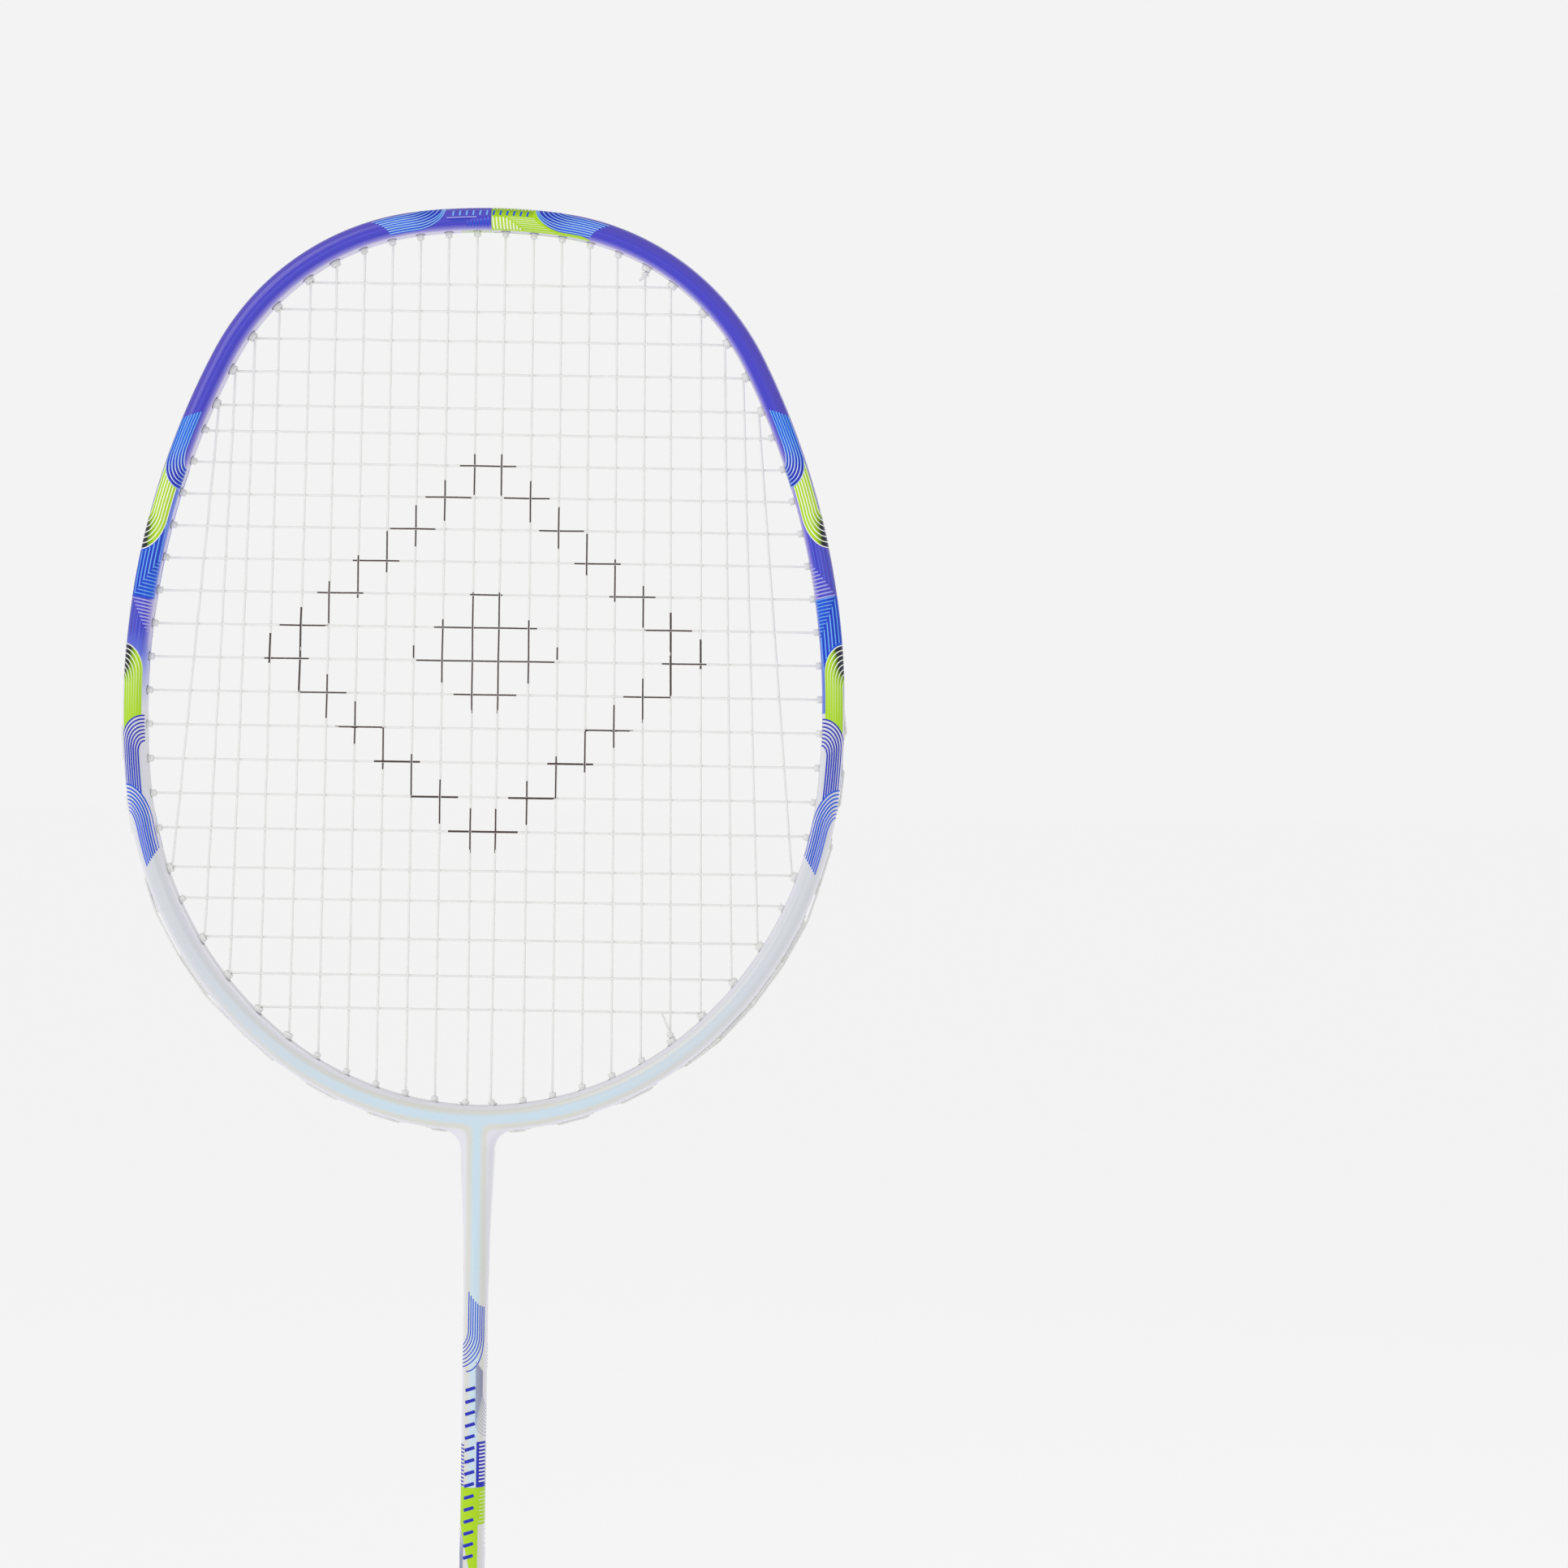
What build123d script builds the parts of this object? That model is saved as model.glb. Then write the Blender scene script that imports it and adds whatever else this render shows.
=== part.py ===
from build123d import *
import math
import os
from collections import namedtuple

# Badminton racket, millimetres. It stands on its butt end: +Z runs up the handle and shaft to the
# crown of the head, X lies across the head, and the strings lie in the XZ plane.

os.makedirs("parts", exist_ok=True)

# --- Driving dimensions ---------------------------------------------------------------------

total_length = 675.0

# Rim: half of its outline is a chain of tangent arcs, from the crown down to the throat.
rim_turns = (7.5, 55.5, 33.0, 44.0, 40.0)  # degrees that each arc turns
outer_radii = (162.0, 75.0, 222.0, 112.0)  # the fifth arc closes the outline on the axis
rim_band = 6.3  # width of the rim, seen from the front, at the crown and sides
inner_lower_radius = 104.0  # a little tighter than a true offset, so the rim widens at the throat
rim_depth = 10.4
rim_rounding = 3.0
rim_wall = 1.1
groove_depth = 1.2
groove_width = 2.6
groove_end_z = 529.9

# Throat and shaft
yoke_half_width = 22.0
neck_top_half_width = 5.0
neck_root_half_width = 4.5
neck_root_z = 400.0
neck_middle_z = 384.0
neck_middle_size = (7.7, 8.0)
neck_end_z = 366.0
neck_fillet = 6.0
shaft_diameter = 7.0
shaft_bore = 4.0
shaft_bottom_z = 58.0
joint_stem_bottom_z = 332.0
joint_arm_half_width = 18.0

# Strings
string_diameter = 0.70
main_pitch_top = 8.1
main_pitch_bottom = 8.45
outer_mains_top = (67.8, 73.8, 78.7)
outer_mains_bottom = (71.6, 79.3, 89.0)
even_mains = 8  # mains each side of the axis that keep the even pitch
mains_per_side = 11
cross_count = 23
top_cross_z = 655.0
first_cross_gap = 8.55
cross_gap_growth = 0.09
weave_amplitude = 0.44
weave_bend = 15.0
link_bend = 0.7
lane = 0.42  # sideways shift of each of two strings that share a grommet
stacked_lift = 0.75  # extra height of a run that passes over other runs

# Grommets
barrel_diameter, barrel_bore = 2.0, 1.2
double_barrel_diameter, double_barrel_bore = 2.8, 2.0
barrel_stand = 1.5  # length that shows inside the rim
central_hole_slant = 2.6  # degrees of the rim that the two lowest main holes slant out past the neck
flange_thickness = 0.3
flange_length, flange_width = 3.4, 2.2
double_flange_length = 4.4

# Knots
knot_turn_radius = 0.71
knot_turn_places = (0.75, 1.40)  # along the main, from the mouth of its barrel

# Handle: a wooden core between a cap at the butt and a cone at the top, under wound tape
core_x, core_y = 21.0, 24.0
bevel_share = 0.286  # a corner bevel as a share of the width across the handle
core_top_z = 166.0
spigot_x, spigot_y = 17.6, 20.6
cap_height = 16.0
cap_floor = 3.4
cap_sections = ((0, 24.4, 27.4), (1.0, 26.2, 29.2), (5.0, 25.4, 28.4), (cap_height, core_x, core_y))
cone_pocket = 8.0
cone_top_z = 212.0
cone_top_diameter = 9.6
grip_thickness = 1.6
grip_top_z = 176.0
band_bottom_z, band_top_z = 168.0, 182.0
band_thickness = 0.35
badge_diameter = 18.0
badge_depth = 0.8
badge_recess = 0.3
staple_wire = 0.9
staple_span = 8.0
staple_leg = 9.0
staple_offset = 4.0
staple_crown_z = 1.8

# --- Rim outline ------------------------------------------------------------------------------

arc_limits = [sum(rim_turns[:count]) for count in range(len(rim_turns) + 1)]


def closed_radii(radii):
    """Adds the last arc's radius, which brings half an outline back to the axis."""
    limits = [math.radians(limit) for limit in arc_limits]
    reach = sum(r * (math.sin(b) - math.sin(a)) for r, a, b in zip(radii, limits, limits[1:]))
    return radii + (reach / math.sin(limits[-2]),)


outer_rim = closed_radii(outer_radii)
inner_rim = closed_radii(tuple(r - rim_band for r in outer_radii[:3]) + (inner_lower_radius,))
outer_crown = total_length
inner_crown = total_length - rim_band


def rim_point(crown, radii, turn):
    """(x, z) on the right-hand half of an outline, where it has turned by some degrees."""
    x, z = 0.0, crown
    for radius, start, stop in zip(radii, arc_limits, arc_limits[1:]):
        a = math.radians(min(turn, start))
        b = math.radians(min(turn, stop))
        x += radius * (math.sin(b) - math.sin(a))
        z -= radius * (math.cos(a) - math.cos(b))
    return x, z


def find_turn(reached, low, high):
    """The turn between low and high at which the test `reached` first holds, by halving."""
    for _ in range(40):
        middle = (low + high) / 2
        if reached(middle):
            high = middle
        else:
            low = middle
    return high


def rim_face(crown, radii, growth=0.0, mode=Mode.ADD):
    """Face inside a rim outline, or inside that outline grown by some distance."""
    with BuildLine() as outline:
        start, direction = Vector(0, crown + growth), Vector(1, 0)
        for radius, turn in zip(radii, rim_turns):
            arc = JernArc(start, direction, radius + growth, -turn)
            start, direction = arc @ 1, arc % 1
        mirror(about=Plane.YZ)
    make_face(outline.edges(), mode=mode)


inner_rim_height = inner_crown - rim_point(inner_crown, inner_rim, 180)[1]
throat_cavity_z = rim_point(outer_crown, outer_rim, 180)[1] + rim_wall + groove_depth + 1

# --- Holes -----------------------------------------------------------------------------------

Hole = namedtuple("Hole", "inner outer normal double")


def rim_hole(turn, double=False, outer_turn=None):
    """Right-hand hole that crosses the rim where the outlines have turned by some degrees."""
    inner = rim_point(inner_crown, inner_rim, turn)
    outer_turn = turn if outer_turn is None else outer_turn
    outer = rim_point(outer_crown, outer_rim, outer_turn)
    normal = Vector(math.sin(math.radians(outer_turn)), 0, math.cos(math.radians(outer_turn)))
    return Hole(Vector(inner[0], 0, inner[1]), Vector(outer[0], 0, outer[1]), normal, double)


def turn_at_x(x, lower):
    """Turn at which the inner outline is x from the axis, above or below its widest point."""
    if lower:
        return find_turn(lambda t: rim_point(inner_crown, inner_rim, t)[0] <= x, 90, 180)
    return find_turn(lambda t: rim_point(inner_crown, inner_rim, t)[0] >= x, 0, 90)


def turn_at_z(z):
    """Turn at which the inner outline has come down to z."""
    return find_turn(lambda t: rim_point(inner_crown, inner_rim, t)[1] <= z, 0, 180)


main_top_x = [main_pitch_top * (i + 0.5) for i in range(even_mains)] + list(outer_mains_top)
main_bottom_x = [main_pitch_bottom * (i + 0.5) for i in range(even_mains)] + list(outer_mains_bottom)
cross_z = [
    top_cross_z - first_cross_gap * k - cross_gap_growth * k * (k - 1) / 2
    for k in range(cross_count)
]

# Corner holes take a main and a cross: main number -> cross number, both counted from 0.
shared_top = {6: 0, 7: 1, 8: 2, 9: 3, 10: 4}
shared_bottom = {7: 22, 8: 21, 9: 20, 10: 18}
tie_off_top = 5
tie_off_bottom = 6

top_holes = []
for number, x in enumerate(main_top_x):
    turn = turn_at_x(x, lower=False)
    if number in shared_top:
        turn = (turn + turn_at_z(cross_z[shared_top[number]])) / 2
    top_holes.append(rim_hole(turn, number in shared_top or number == tie_off_top))

bottom_holes = []
for number, x in enumerate(main_bottom_x):
    turn = turn_at_x(x, lower=True)
    if number in shared_bottom:
        turn = (turn + turn_at_z(cross_z[shared_bottom[number]])) / 2
    exit_turn = turn - central_hole_slant if number == 0 else turn
    double = number in shared_bottom or number == tie_off_bottom
    bottom_holes.append(rim_hole(turn, double, exit_turn))

side_holes = {}
for number, z in enumerate(cross_z):
    side_holes[number] = rim_hole(turn_at_z(z))
for main, cross in shared_top.items():
    side_holes[cross] = top_holes[main]
for main, cross in shared_bottom.items():
    side_holes[cross] = bottom_holes[main]


def mirrored(hole):
    """The same hole on the left-hand side."""
    vectors = [Vector(-v.X, v.Y, v.Z) for v in (hole.inner, hole.outer, hole.normal)]
    return Hole(*vectors, hole.double)


def outward(hole):
    return (hole.outer - hole.inner).normalized()


def in_groove(hole):
    return hole.outer.Z > groove_end_z


single_cross_numbers = [k for k in range(cross_count)
                        if k not in shared_top.values() and k not in shared_bottom.values()]
lower_cross_number = 19
side_numbers = [k for k in single_cross_numbers if k != lower_cross_number]

grommet_groups = {
    "top": [h for hole in top_holes[:6] for h in (hole, mirrored(hole))],
    "upper_right": top_holes[6:],
    "right": [side_holes[k] for k in side_numbers],
    "lower_right": bottom_holes[7:] + [side_holes[lower_cross_number]],
    "throat_right": bottom_holes[:7],
}
for side in ("upper", "lower", "throat"):
    grommet_groups[side + "_left"] = [mirrored(h) for h in grommet_groups[side + "_right"]]
grommet_groups["left"] = [mirrored(h) for h in grommet_groups["right"]]
all_holes = [hole for group in grommet_groups.values() for hole in group]

# --- Moulded rim with its yoke, before it is divided --------------------------------------------

with BuildPart() as cavity:
    with BuildSketch(Plane.XZ):
        rim_face(outer_crown, outer_rim, -rim_wall - groove_depth)
        rim_face(inner_crown, inner_rim, rim_wall, Mode.SUBTRACT)
    extrude(amount=rim_depth / 2 - rim_wall, both=True)
    end_faces = cavity.faces().filter_by(Axis.Y)
    fillet(end_faces.edges(), rim_rounding - rim_wall - 0.6)

with BuildPart() as moulding:
    with BuildSketch(Plane.XZ) as front:
        rim_face(outer_crown, outer_rim)
        with BuildLine() as neck_line:
            Polyline(
                (-neck_top_half_width, neck_root_z + 14),
                (neck_top_half_width, neck_root_z + 14),
                (neck_root_half_width, neck_root_z),
                (-neck_root_half_width, neck_root_z),
                close=True,
            )
        make_face(neck_line.edges())
        corners = front.vertices().filter_by(
            lambda v: v.Y > neck_root_z + 1 and abs(v.X) < neck_top_half_width + 1 and v.Y < 500
            and abs(v.X) > 1
        )
        fillet(corners, neck_fillet)
        rim_face(inner_crown, inner_rim, mode=Mode.SUBTRACT)
    extrude(amount=rim_depth / 2, both=True)
    rim_edges = (
        moulding.faces().filter_by(Axis.Y).edges()
        .filter_by(lambda e: e.center().Z > neck_root_z + 0.5)
    )
    fillet(rim_edges, rim_rounding)
    with BuildSketch(Plane.XY.offset(neck_root_z)):
        RectangleRounded(2 * neck_root_half_width - 0.02, rim_depth - 0.02, rim_rounding)
    with BuildSketch(Plane.XY.offset(neck_middle_z)):
        RectangleRounded(*neck_middle_size, 0.49 * min(neck_middle_size))
    with BuildSketch(Plane.XY.offset(neck_end_z)):
        RectangleRounded(shaft_diameter, shaft_diameter, 0.499 * shaft_diameter)
    loft()
    add(cavity.part, mode=Mode.SUBTRACT)
    with BuildSketch(Plane.XY.offset(neck_end_z)):
        Circle(shaft_bore / 2)
    extrude(amount=throat_cavity_z - neck_end_z, mode=Mode.SUBTRACT)

# --- Rim tube and yoke ---------------------------------------------------------------------------

with BuildPart() as yoke_zone:
    yoke_height = inner_crown - inner_rim_height - neck_end_z + 40
    with BuildSketch(Plane.XY.offset(neck_end_z - 1)):
        Rectangle(2 * yoke_half_width, 4 * rim_depth)
    extrude(amount=yoke_height)

with BuildPart() as groove:
    with BuildSketch(Plane.XZ):
        rim_face(outer_crown, outer_rim, 2)
        rim_face(outer_crown, outer_rim, -groove_depth, Mode.SUBTRACT)
    extrude(amount=groove_width / 2, both=True)
    split(bisect_by=Plane.XY.offset(groove_end_z), keep=Keep.TOP)

with BuildPart() as drillings:
    for hole in all_holes:
        axis = Plane(hole.inner - 2 * outward(hole), z_dir=outward(hole))
        with BuildSketch(axis):
            Circle((double_barrel_diameter if hole.double else barrel_diameter) / 2)
        extrude(amount=(hole.outer - hole.inner).length + 4)

with BuildPart() as head_frame:
    add(moulding.part)
    add(yoke_zone.part, mode=Mode.SUBTRACT)
    add(groove.part, mode=Mode.SUBTRACT)
    add(drillings.part, mode=Mode.SUBTRACT)

with BuildPart() as yoke:
    add(moulding.part)
    add(yoke_zone.part, mode=Mode.INTERSECT)
    add(drillings.part, mode=Mode.SUBTRACT)

with BuildPart() as t_joint:
    with BuildSketch(Plane.XY.offset(neck_end_z)):
        Rectangle(2 * joint_arm_half_width, rim_depth)
    extrude(amount=yoke_height)
    add(cavity.part, mode=Mode.INTERSECT)
    with BuildSketch(Plane.XY.offset(joint_stem_bottom_z)):
        Circle(shaft_bore / 2)
    extrude(amount=throat_cavity_z - joint_stem_bottom_z)
    add(drillings.part, mode=Mode.SUBTRACT)
    chamfer(t_joint.faces().sort_by(Axis.Z)[0].edges(), 0.4)

# --- Grommets ------------------------------------------------------------------------------------


def make_grommet(hole):
    """One flanged nylon barrel, in its hole."""
    bore = double_barrel_bore if hole.double else barrel_bore
    barrel = double_barrel_diameter if hole.double else barrel_diameter
    flange = double_flange_length if hole.double else flange_length
    seat = hole.outer - outward(hole) * (groove_depth if in_groove(hole) else 0)
    seat_plane = Plane(seat, x_dir=Vector(0, 1, 0), z_dir=outward(hole))
    length = (seat - hole.inner).length + barrel_stand
    with BuildPart() as grommet:
        with BuildSketch(Plane(seat, x_dir=Vector(0, 1, 0), z_dir=hole.normal)):
            SlotOverall(flange, flange_width, rotation=90)
        extrude(amount=flange_thickness)
        with BuildSketch(seat_plane.offset(flange_thickness / 2)):
            Circle(barrel / 2)
        extrude(amount=-length - flange_thickness / 2)
        with BuildSketch(seat_plane.offset(flange_thickness)):
            Circle(bore / 2)
        extrude(amount=-length - flange_thickness, mode=Mode.SUBTRACT)
    return grommet.part


grommet_parts = {}
for group, holes in grommet_groups.items():
    with BuildPart() as grommets:
        for hole in holes:
            add(make_grommet(hole))
    grommet_parts["grommets_" + group] = grommets

# --- Strings -------------------------------------------------------------------------------------


def mouth(hole, shift=0.0):
    """Where a string leaves a barrel, inside the rim."""
    return hole.inner - outward(hole) * barrel_stand + Vector(0, shift, 0)


def corner(hole, shift=0.0, lift=0.0):
    """Where a string that leaves a barrel outside the rim turns along the rim."""
    floor = -groove_depth if in_groove(hole) else 0
    height = floor + flange_thickness + string_diameter / 2 + lift
    return hole.outer + outward(hole) * height + Vector(0, shift, 0)


def string_length(points):
    """A smooth wire through route points given as (point, largest bend radius)."""
    places = [place for place, _ in points]
    bends = []
    for a, (b, largest), c in zip(places, points[1:], places[2:]):
        half_turn = math.radians((b - a).get_angle(c - b)) / 2
        shorter_run = min((b - a).length, (c - b).length)
        bends.append(min(largest, 0.45 * shorter_run / math.tan(half_turn)))
    return FilletPolyline(*places, radius=bends, mode=Mode.PRIVATE)


Run = namedtuple("Run", "start_hole end_hole start_shift end_shift")


def main_run(number):
    """Main number 0 to 21 from the left: its holes in the order in which the string goes."""
    side = number - mains_per_side if number >= mains_per_side else mains_per_side - 1 - number
    top, bottom = top_holes[side], bottom_holes[side]
    if number < mains_per_side:
        top, bottom = mirrored(top), mirrored(bottom)
    shifts = [-lane if hole.double else 0 for hole in (bottom, top)]
    if number % 2 == 0:
        return Run(bottom, top, *shifts)
    return Run(top, bottom, *reversed(shifts))


def cross_run(number):
    """Cross number 0 to 22 from the top. Even ones go to the right, odd ones to the left."""
    right = side_holes[number]
    shift = lane if right.double else 0
    if number % 2 == 0:
        return Run(mirrored(right), right, shift, shift)
    return Run(right, mirrored(right), shift, shift)


main_runs = [main_run(number) for number in range(2 * mains_per_side)]
cross_runs = [cross_run(number) for number in range(cross_count)]


def crossing(main, cross):
    """Place in the XZ plane where a main and a cross meet, or None where they don't."""
    low, high = sorted((mouth(main.start_hole), mouth(main.end_hole)), key=lambda p: p.Z)
    level = mouth(cross.start_hole).Z
    reach = abs(mouth(cross.start_hole).X)
    share = (level - low.Z) / (high.Z - low.Z)
    x = low.X + share * (high.X - low.X)
    if low.Z + 0.8 < level < high.Z - 0.8 and abs(x) < reach - 1.5:
        return Vector(x, 0, level)
    return None


def woven_points(run, crossings, first_side):
    """Route of one run, from its first mouth through the weave to its last mouth."""
    start = mouth(run.start_hole, run.start_shift)
    end = mouth(run.end_hole, run.end_shift)
    ordered = sorted(crossings, key=lambda item: (item[1] - start).length)
    points = [(start, link_bend)]
    for sign, place in ordered:
        points.append((place + Vector(0, first_side * sign * weave_amplitude, 0), weave_bend))
    return points + [(end, link_bend)]


def main_points(number):
    run = main_runs[number]
    found = [(-1 if (number + k) % 2 else 1, crossing(run, cross)) for k, cross in enumerate(cross_runs)]
    return woven_points(run, [item for item in found if item[1]], 1)


def cross_points(number):
    run = cross_runs[number]
    found = [(-1 if (number + k) % 2 else 1, crossing(main, run)) for k, main in enumerate(main_runs)]
    return woven_points(run, [item for item in found if item[1]], -1)


def joined_string(lengths):
    """One string solid along wires that follow each other end to end."""
    path = Wire([edge for length in lengths for edge in length.edges()])
    with BuildPart() as string:
        with BuildSketch(Plane(path @ 0, z_dir=path % 0)):
            Circle(string_diameter / 2)
        sweep(path=path)
    return string


def linked_lengths(runs, woven, first_points, last_points):
    """Wires of consecutive runs. They meet in the middle of each link outside the rim."""
    corners = [
        (corner(run.start_hole, run.start_shift), corner(run.end_hole, run.end_shift))
        for run in runs
    ]
    lengths = []
    for index, (start, end) in enumerate(corners):
        if index == 0:
            before = first_points
        else:
            before = [((corners[index - 1][1] + start) / 2, 0), (start, link_bend)]
        if index == len(runs) - 1:
            after = last_points
        else:
            after = [(end, link_bend), ((end + corners[index + 1][0]) / 2, 0)]
        lengths.append(string_length(before + woven[index] + after))
    return lengths


def over(hole):
    """A point of a run that passes above a grommet and the links that leave it."""
    return (corner(hole, 0, stacked_lift), weave_bend)


# The mains start where the left-hand end crosses over to the lowest cross, and end at a knot.
last_main_hole = bottom_holes[mains_per_side - 1]
passed_holes = [side_holes[lower_cross_number], bottom_holes[9], bottom_holes[8]]
left_turn = corner(mirrored(last_main_hole), -lane)
left_over = [over(mirrored(hole)) for hole in passed_holes]
meeting = (left_turn + left_over[0][0]) / 2
knot_bottom_hole = bottom_holes[tie_off_bottom]
knot_top_hole = top_holes[tie_off_top]


main_tail = (
    [(corner(last_main_hole, -lane), link_bend)]
    + [over(hole) for hole in passed_holes + [bottom_holes[7]]]
    + [(corner(knot_bottom_hole, lane), link_bend), (mouth(knot_bottom_hole, lane), link_bend)]
)
main_string = joined_string(linked_lengths(
    main_runs,
    [main_points(number) for number in range(2 * mains_per_side)],
    [(meeting, 0), (left_turn, link_bend)],
    main_tail,
))

cross_order = list(reversed(range(cross_count)))
cross_start = [(meeting, 0)] + left_over + [(corner(cross_runs[22].start_hole, lane), link_bend)]
cross_tail = [
    (corner(cross_runs[0].end_hole, lane), link_bend),
    (corner(knot_top_hole, lane), link_bend),
    (mouth(knot_top_hole, lane), link_bend),
]
cross_string = joined_string(linked_lengths(
    [cross_runs[number] for number in cross_order],
    [cross_points(number) for number in cross_order],
    cross_start,
    cross_tail,
))

# --- Knots ---------------------------------------------------------------------------------------


def make_knot(number, tail_direction, tail_length):
    """Two turns round a main at the end of its run, and the cut tail that stands out of them."""
    *_, (before, _), (start, _) = main_points(number)
    along = (before - start).normalized()
    with BuildPart() as knot:
        for distance in knot_turn_places:
            with Locations(Plane(start + along * distance, z_dir=along)):
                Torus(knot_turn_radius, string_diameter / 2)
        tail_start = start + along * knot_turn_places[-1] - Vector(0, knot_turn_radius, 0)
        with BuildSketch(Plane(tail_start, z_dir=tail_direction)):
            Circle(string_diameter / 2)
        extrude(amount=tail_length)
    return knot


knot_top = make_knot(mains_per_side + tie_off_top, Vector(-1, -0.6, -1.2), 2.5)
knot_bottom = make_knot(mains_per_side + tie_off_bottom, Vector(-2.8, -0.6, 6.5), 7.0)

# --- Shaft ---------------------------------------------------------------------------------------

with BuildPart() as shaft:
    with BuildSketch(Plane.XY.offset(shaft_bottom_z)):
        Circle(shaft_diameter / 2)
        Circle(shaft_bore / 2, mode=Mode.SUBTRACT)
    extrude(amount=neck_end_z - shaft_bottom_z)

# --- Handle --------------------------------------------------------------------------------------


def octagon(width, depth, mode=Mode.ADD):
    """Rectangle with bevelled corners, the section of the handle."""
    x, y = width / 2, depth / 2
    bevel = bevel_share * width
    with BuildLine() as outline:
        Polyline(
            (x, bevel - y), (x, y - bevel), (x - bevel, y), (bevel - x, y),
            (-x, y - bevel), (-x, bevel - y), (bevel - x, -y), (x - bevel, -y),
            close=True,
        )
    make_face(outline.edges(), mode=mode)


with BuildPart() as staples:
    for x in (-staple_offset, staple_offset):
        with BuildLine() as wire:
            FilletPolyline(
                (x, -staple_span / 2, staple_crown_z + staple_leg),
                (x, -staple_span / 2, staple_crown_z),
                (x, staple_span / 2, staple_crown_z),
                (x, staple_span / 2, staple_crown_z + staple_leg),
                radius=staple_wire,
            )
        with BuildSketch(Plane(wire.line @ 0, z_dir=wire.line % 0)):
            Circle(staple_wire / 2)
        sweep(path=wire.line)

with BuildPart() as butt_cap:
    for z, width, depth in cap_sections:
        with BuildSketch(Plane.XY.offset(z)):
            octagon(width, depth)
    loft(ruled=True)
    with BuildSketch(Plane.XY.offset(cap_floor)):
        octagon(spigot_x, spigot_y)
    extrude(amount=cap_height, mode=Mode.SUBTRACT)
    with BuildSketch(Plane.XY):
        Circle(badge_diameter / 2)
    extrude(amount=badge_depth + badge_recess, mode=Mode.SUBTRACT)
    add(staples.part, mode=Mode.SUBTRACT)

with BuildPart() as badge:
    with BuildSketch(Plane.XY.offset(badge_recess)):
        Circle(badge_diameter / 2)
    extrude(amount=badge_depth)
    chamfer(badge.faces().sort_by(Axis.Z)[0].edges(), badge_depth / 3)

with BuildPart() as handle_core:
    with BuildSketch(Plane.XY.offset(cap_floor)):
        octagon(spigot_x, spigot_y)
    extrude(amount=core_top_z + cone_pocket - cap_floor)
    with BuildSketch(Plane.XY.offset(cap_height)):
        octagon(core_x, core_y)
    extrude(amount=core_top_z - cap_height)
    with BuildSketch(Plane.XY.offset(shaft_bottom_z)):
        Circle(shaft_diameter / 2)
    extrude(amount=core_top_z, mode=Mode.SUBTRACT)
    add(staples.part, mode=Mode.SUBTRACT)

with BuildPart() as cone:
    with BuildSketch(Plane.XY.offset(core_top_z)):
        RectangleRounded(core_x, core_y, 0.499 * core_x)
    with BuildSketch(Plane.XY.offset(cone_top_z)):
        RectangleRounded(cone_top_diameter, cone_top_diameter, 0.499 * cone_top_diameter)
    loft()
    with BuildSketch(Plane.XY.offset(core_top_z)):
        Circle(shaft_diameter / 2)
    extrude(amount=cone_top_z - core_top_z, mode=Mode.SUBTRACT)
    with BuildSketch(Plane.XY.offset(core_top_z)):
        octagon(spigot_x, spigot_y)
    extrude(amount=cone_pocket, mode=Mode.SUBTRACT)


def sleeve(sections, thickness):
    """Closed sleeve of one thickness over octagonal sections, each (z, width, depth)."""
    with BuildPart() as core:
        for z, width, depth in sections:
            with BuildSketch(Plane.XY.offset(z)):
                octagon(width, depth)
        loft(ruled=True)
    with BuildPart() as cover:
        for z, width, depth in sections:
            with BuildSketch(Plane.XY.offset(z)):
                octagon(width + 2 * thickness, depth + 2 * thickness)
        loft(ruled=True)
        add(core.part, mode=Mode.SUBTRACT)
    return cover


def cone_section(z):
    """(z, width, depth) of the cone at some height."""
    share = (z - core_top_z) / (cone_top_z - core_top_z)
    width = core_x + (cone_top_diameter - core_x) * share
    depth = core_y + (cone_top_diameter - core_y) * share
    return z, width, depth


def swollen(section, thickness):
    z, width, depth = section
    return z, width + 2 * thickness, depth + 2 * thickness


grip_end = cone_section(grip_top_z)
grip_tape = sleeve(
    [cap_sections[2], cap_sections[3], (core_top_z, core_x, core_y), grip_end], grip_thickness)
finishing_band = sleeve(
    [
        swollen(cone_section(band_bottom_z), grip_thickness),
        swollen(grip_end, grip_thickness),
        cone_section(grip_top_z + grip_thickness),
        cone_section(band_top_z),
    ],
    band_thickness,
)

# --- Files ---------------------------------------------------------------------------------------

pieces = {
    "head_frame": head_frame,
    "throat_yoke": yoke,
    "t_joint": t_joint,
    "shaft": shaft,
    "cone": cone,
    "handle_core": handle_core,
    "butt_cap": butt_cap,
    "butt_badge": badge,
    "butt_staples": staples,
    "grip_tape": grip_tape,
    "finishing_band": finishing_band,
    "main_string": main_string,
    "cross_string": cross_string,
    "knot_top": knot_top,
    "knot_bottom": knot_bottom,
    **grommet_parts,
}
for name, piece in pieces.items():
    piece.part.label = name
    export_step(piece.part, f"parts/{name}.step")
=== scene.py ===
import math

import bmesh
import bpy
from mathutils import Matrix, Vector


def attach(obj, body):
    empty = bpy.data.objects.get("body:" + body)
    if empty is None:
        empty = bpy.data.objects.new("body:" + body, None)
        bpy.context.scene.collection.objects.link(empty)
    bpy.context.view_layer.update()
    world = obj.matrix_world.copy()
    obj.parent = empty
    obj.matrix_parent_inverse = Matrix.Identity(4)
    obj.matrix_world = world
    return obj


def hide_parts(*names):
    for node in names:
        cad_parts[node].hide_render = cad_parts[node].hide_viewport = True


# Badminton racket. Lengths below are in millimetres, and become metres when a mesh is made. The
# racket stands on its butt: +Z runs up to the crown, X lies across the head, -Y is the front.

MM = 0.001

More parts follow.
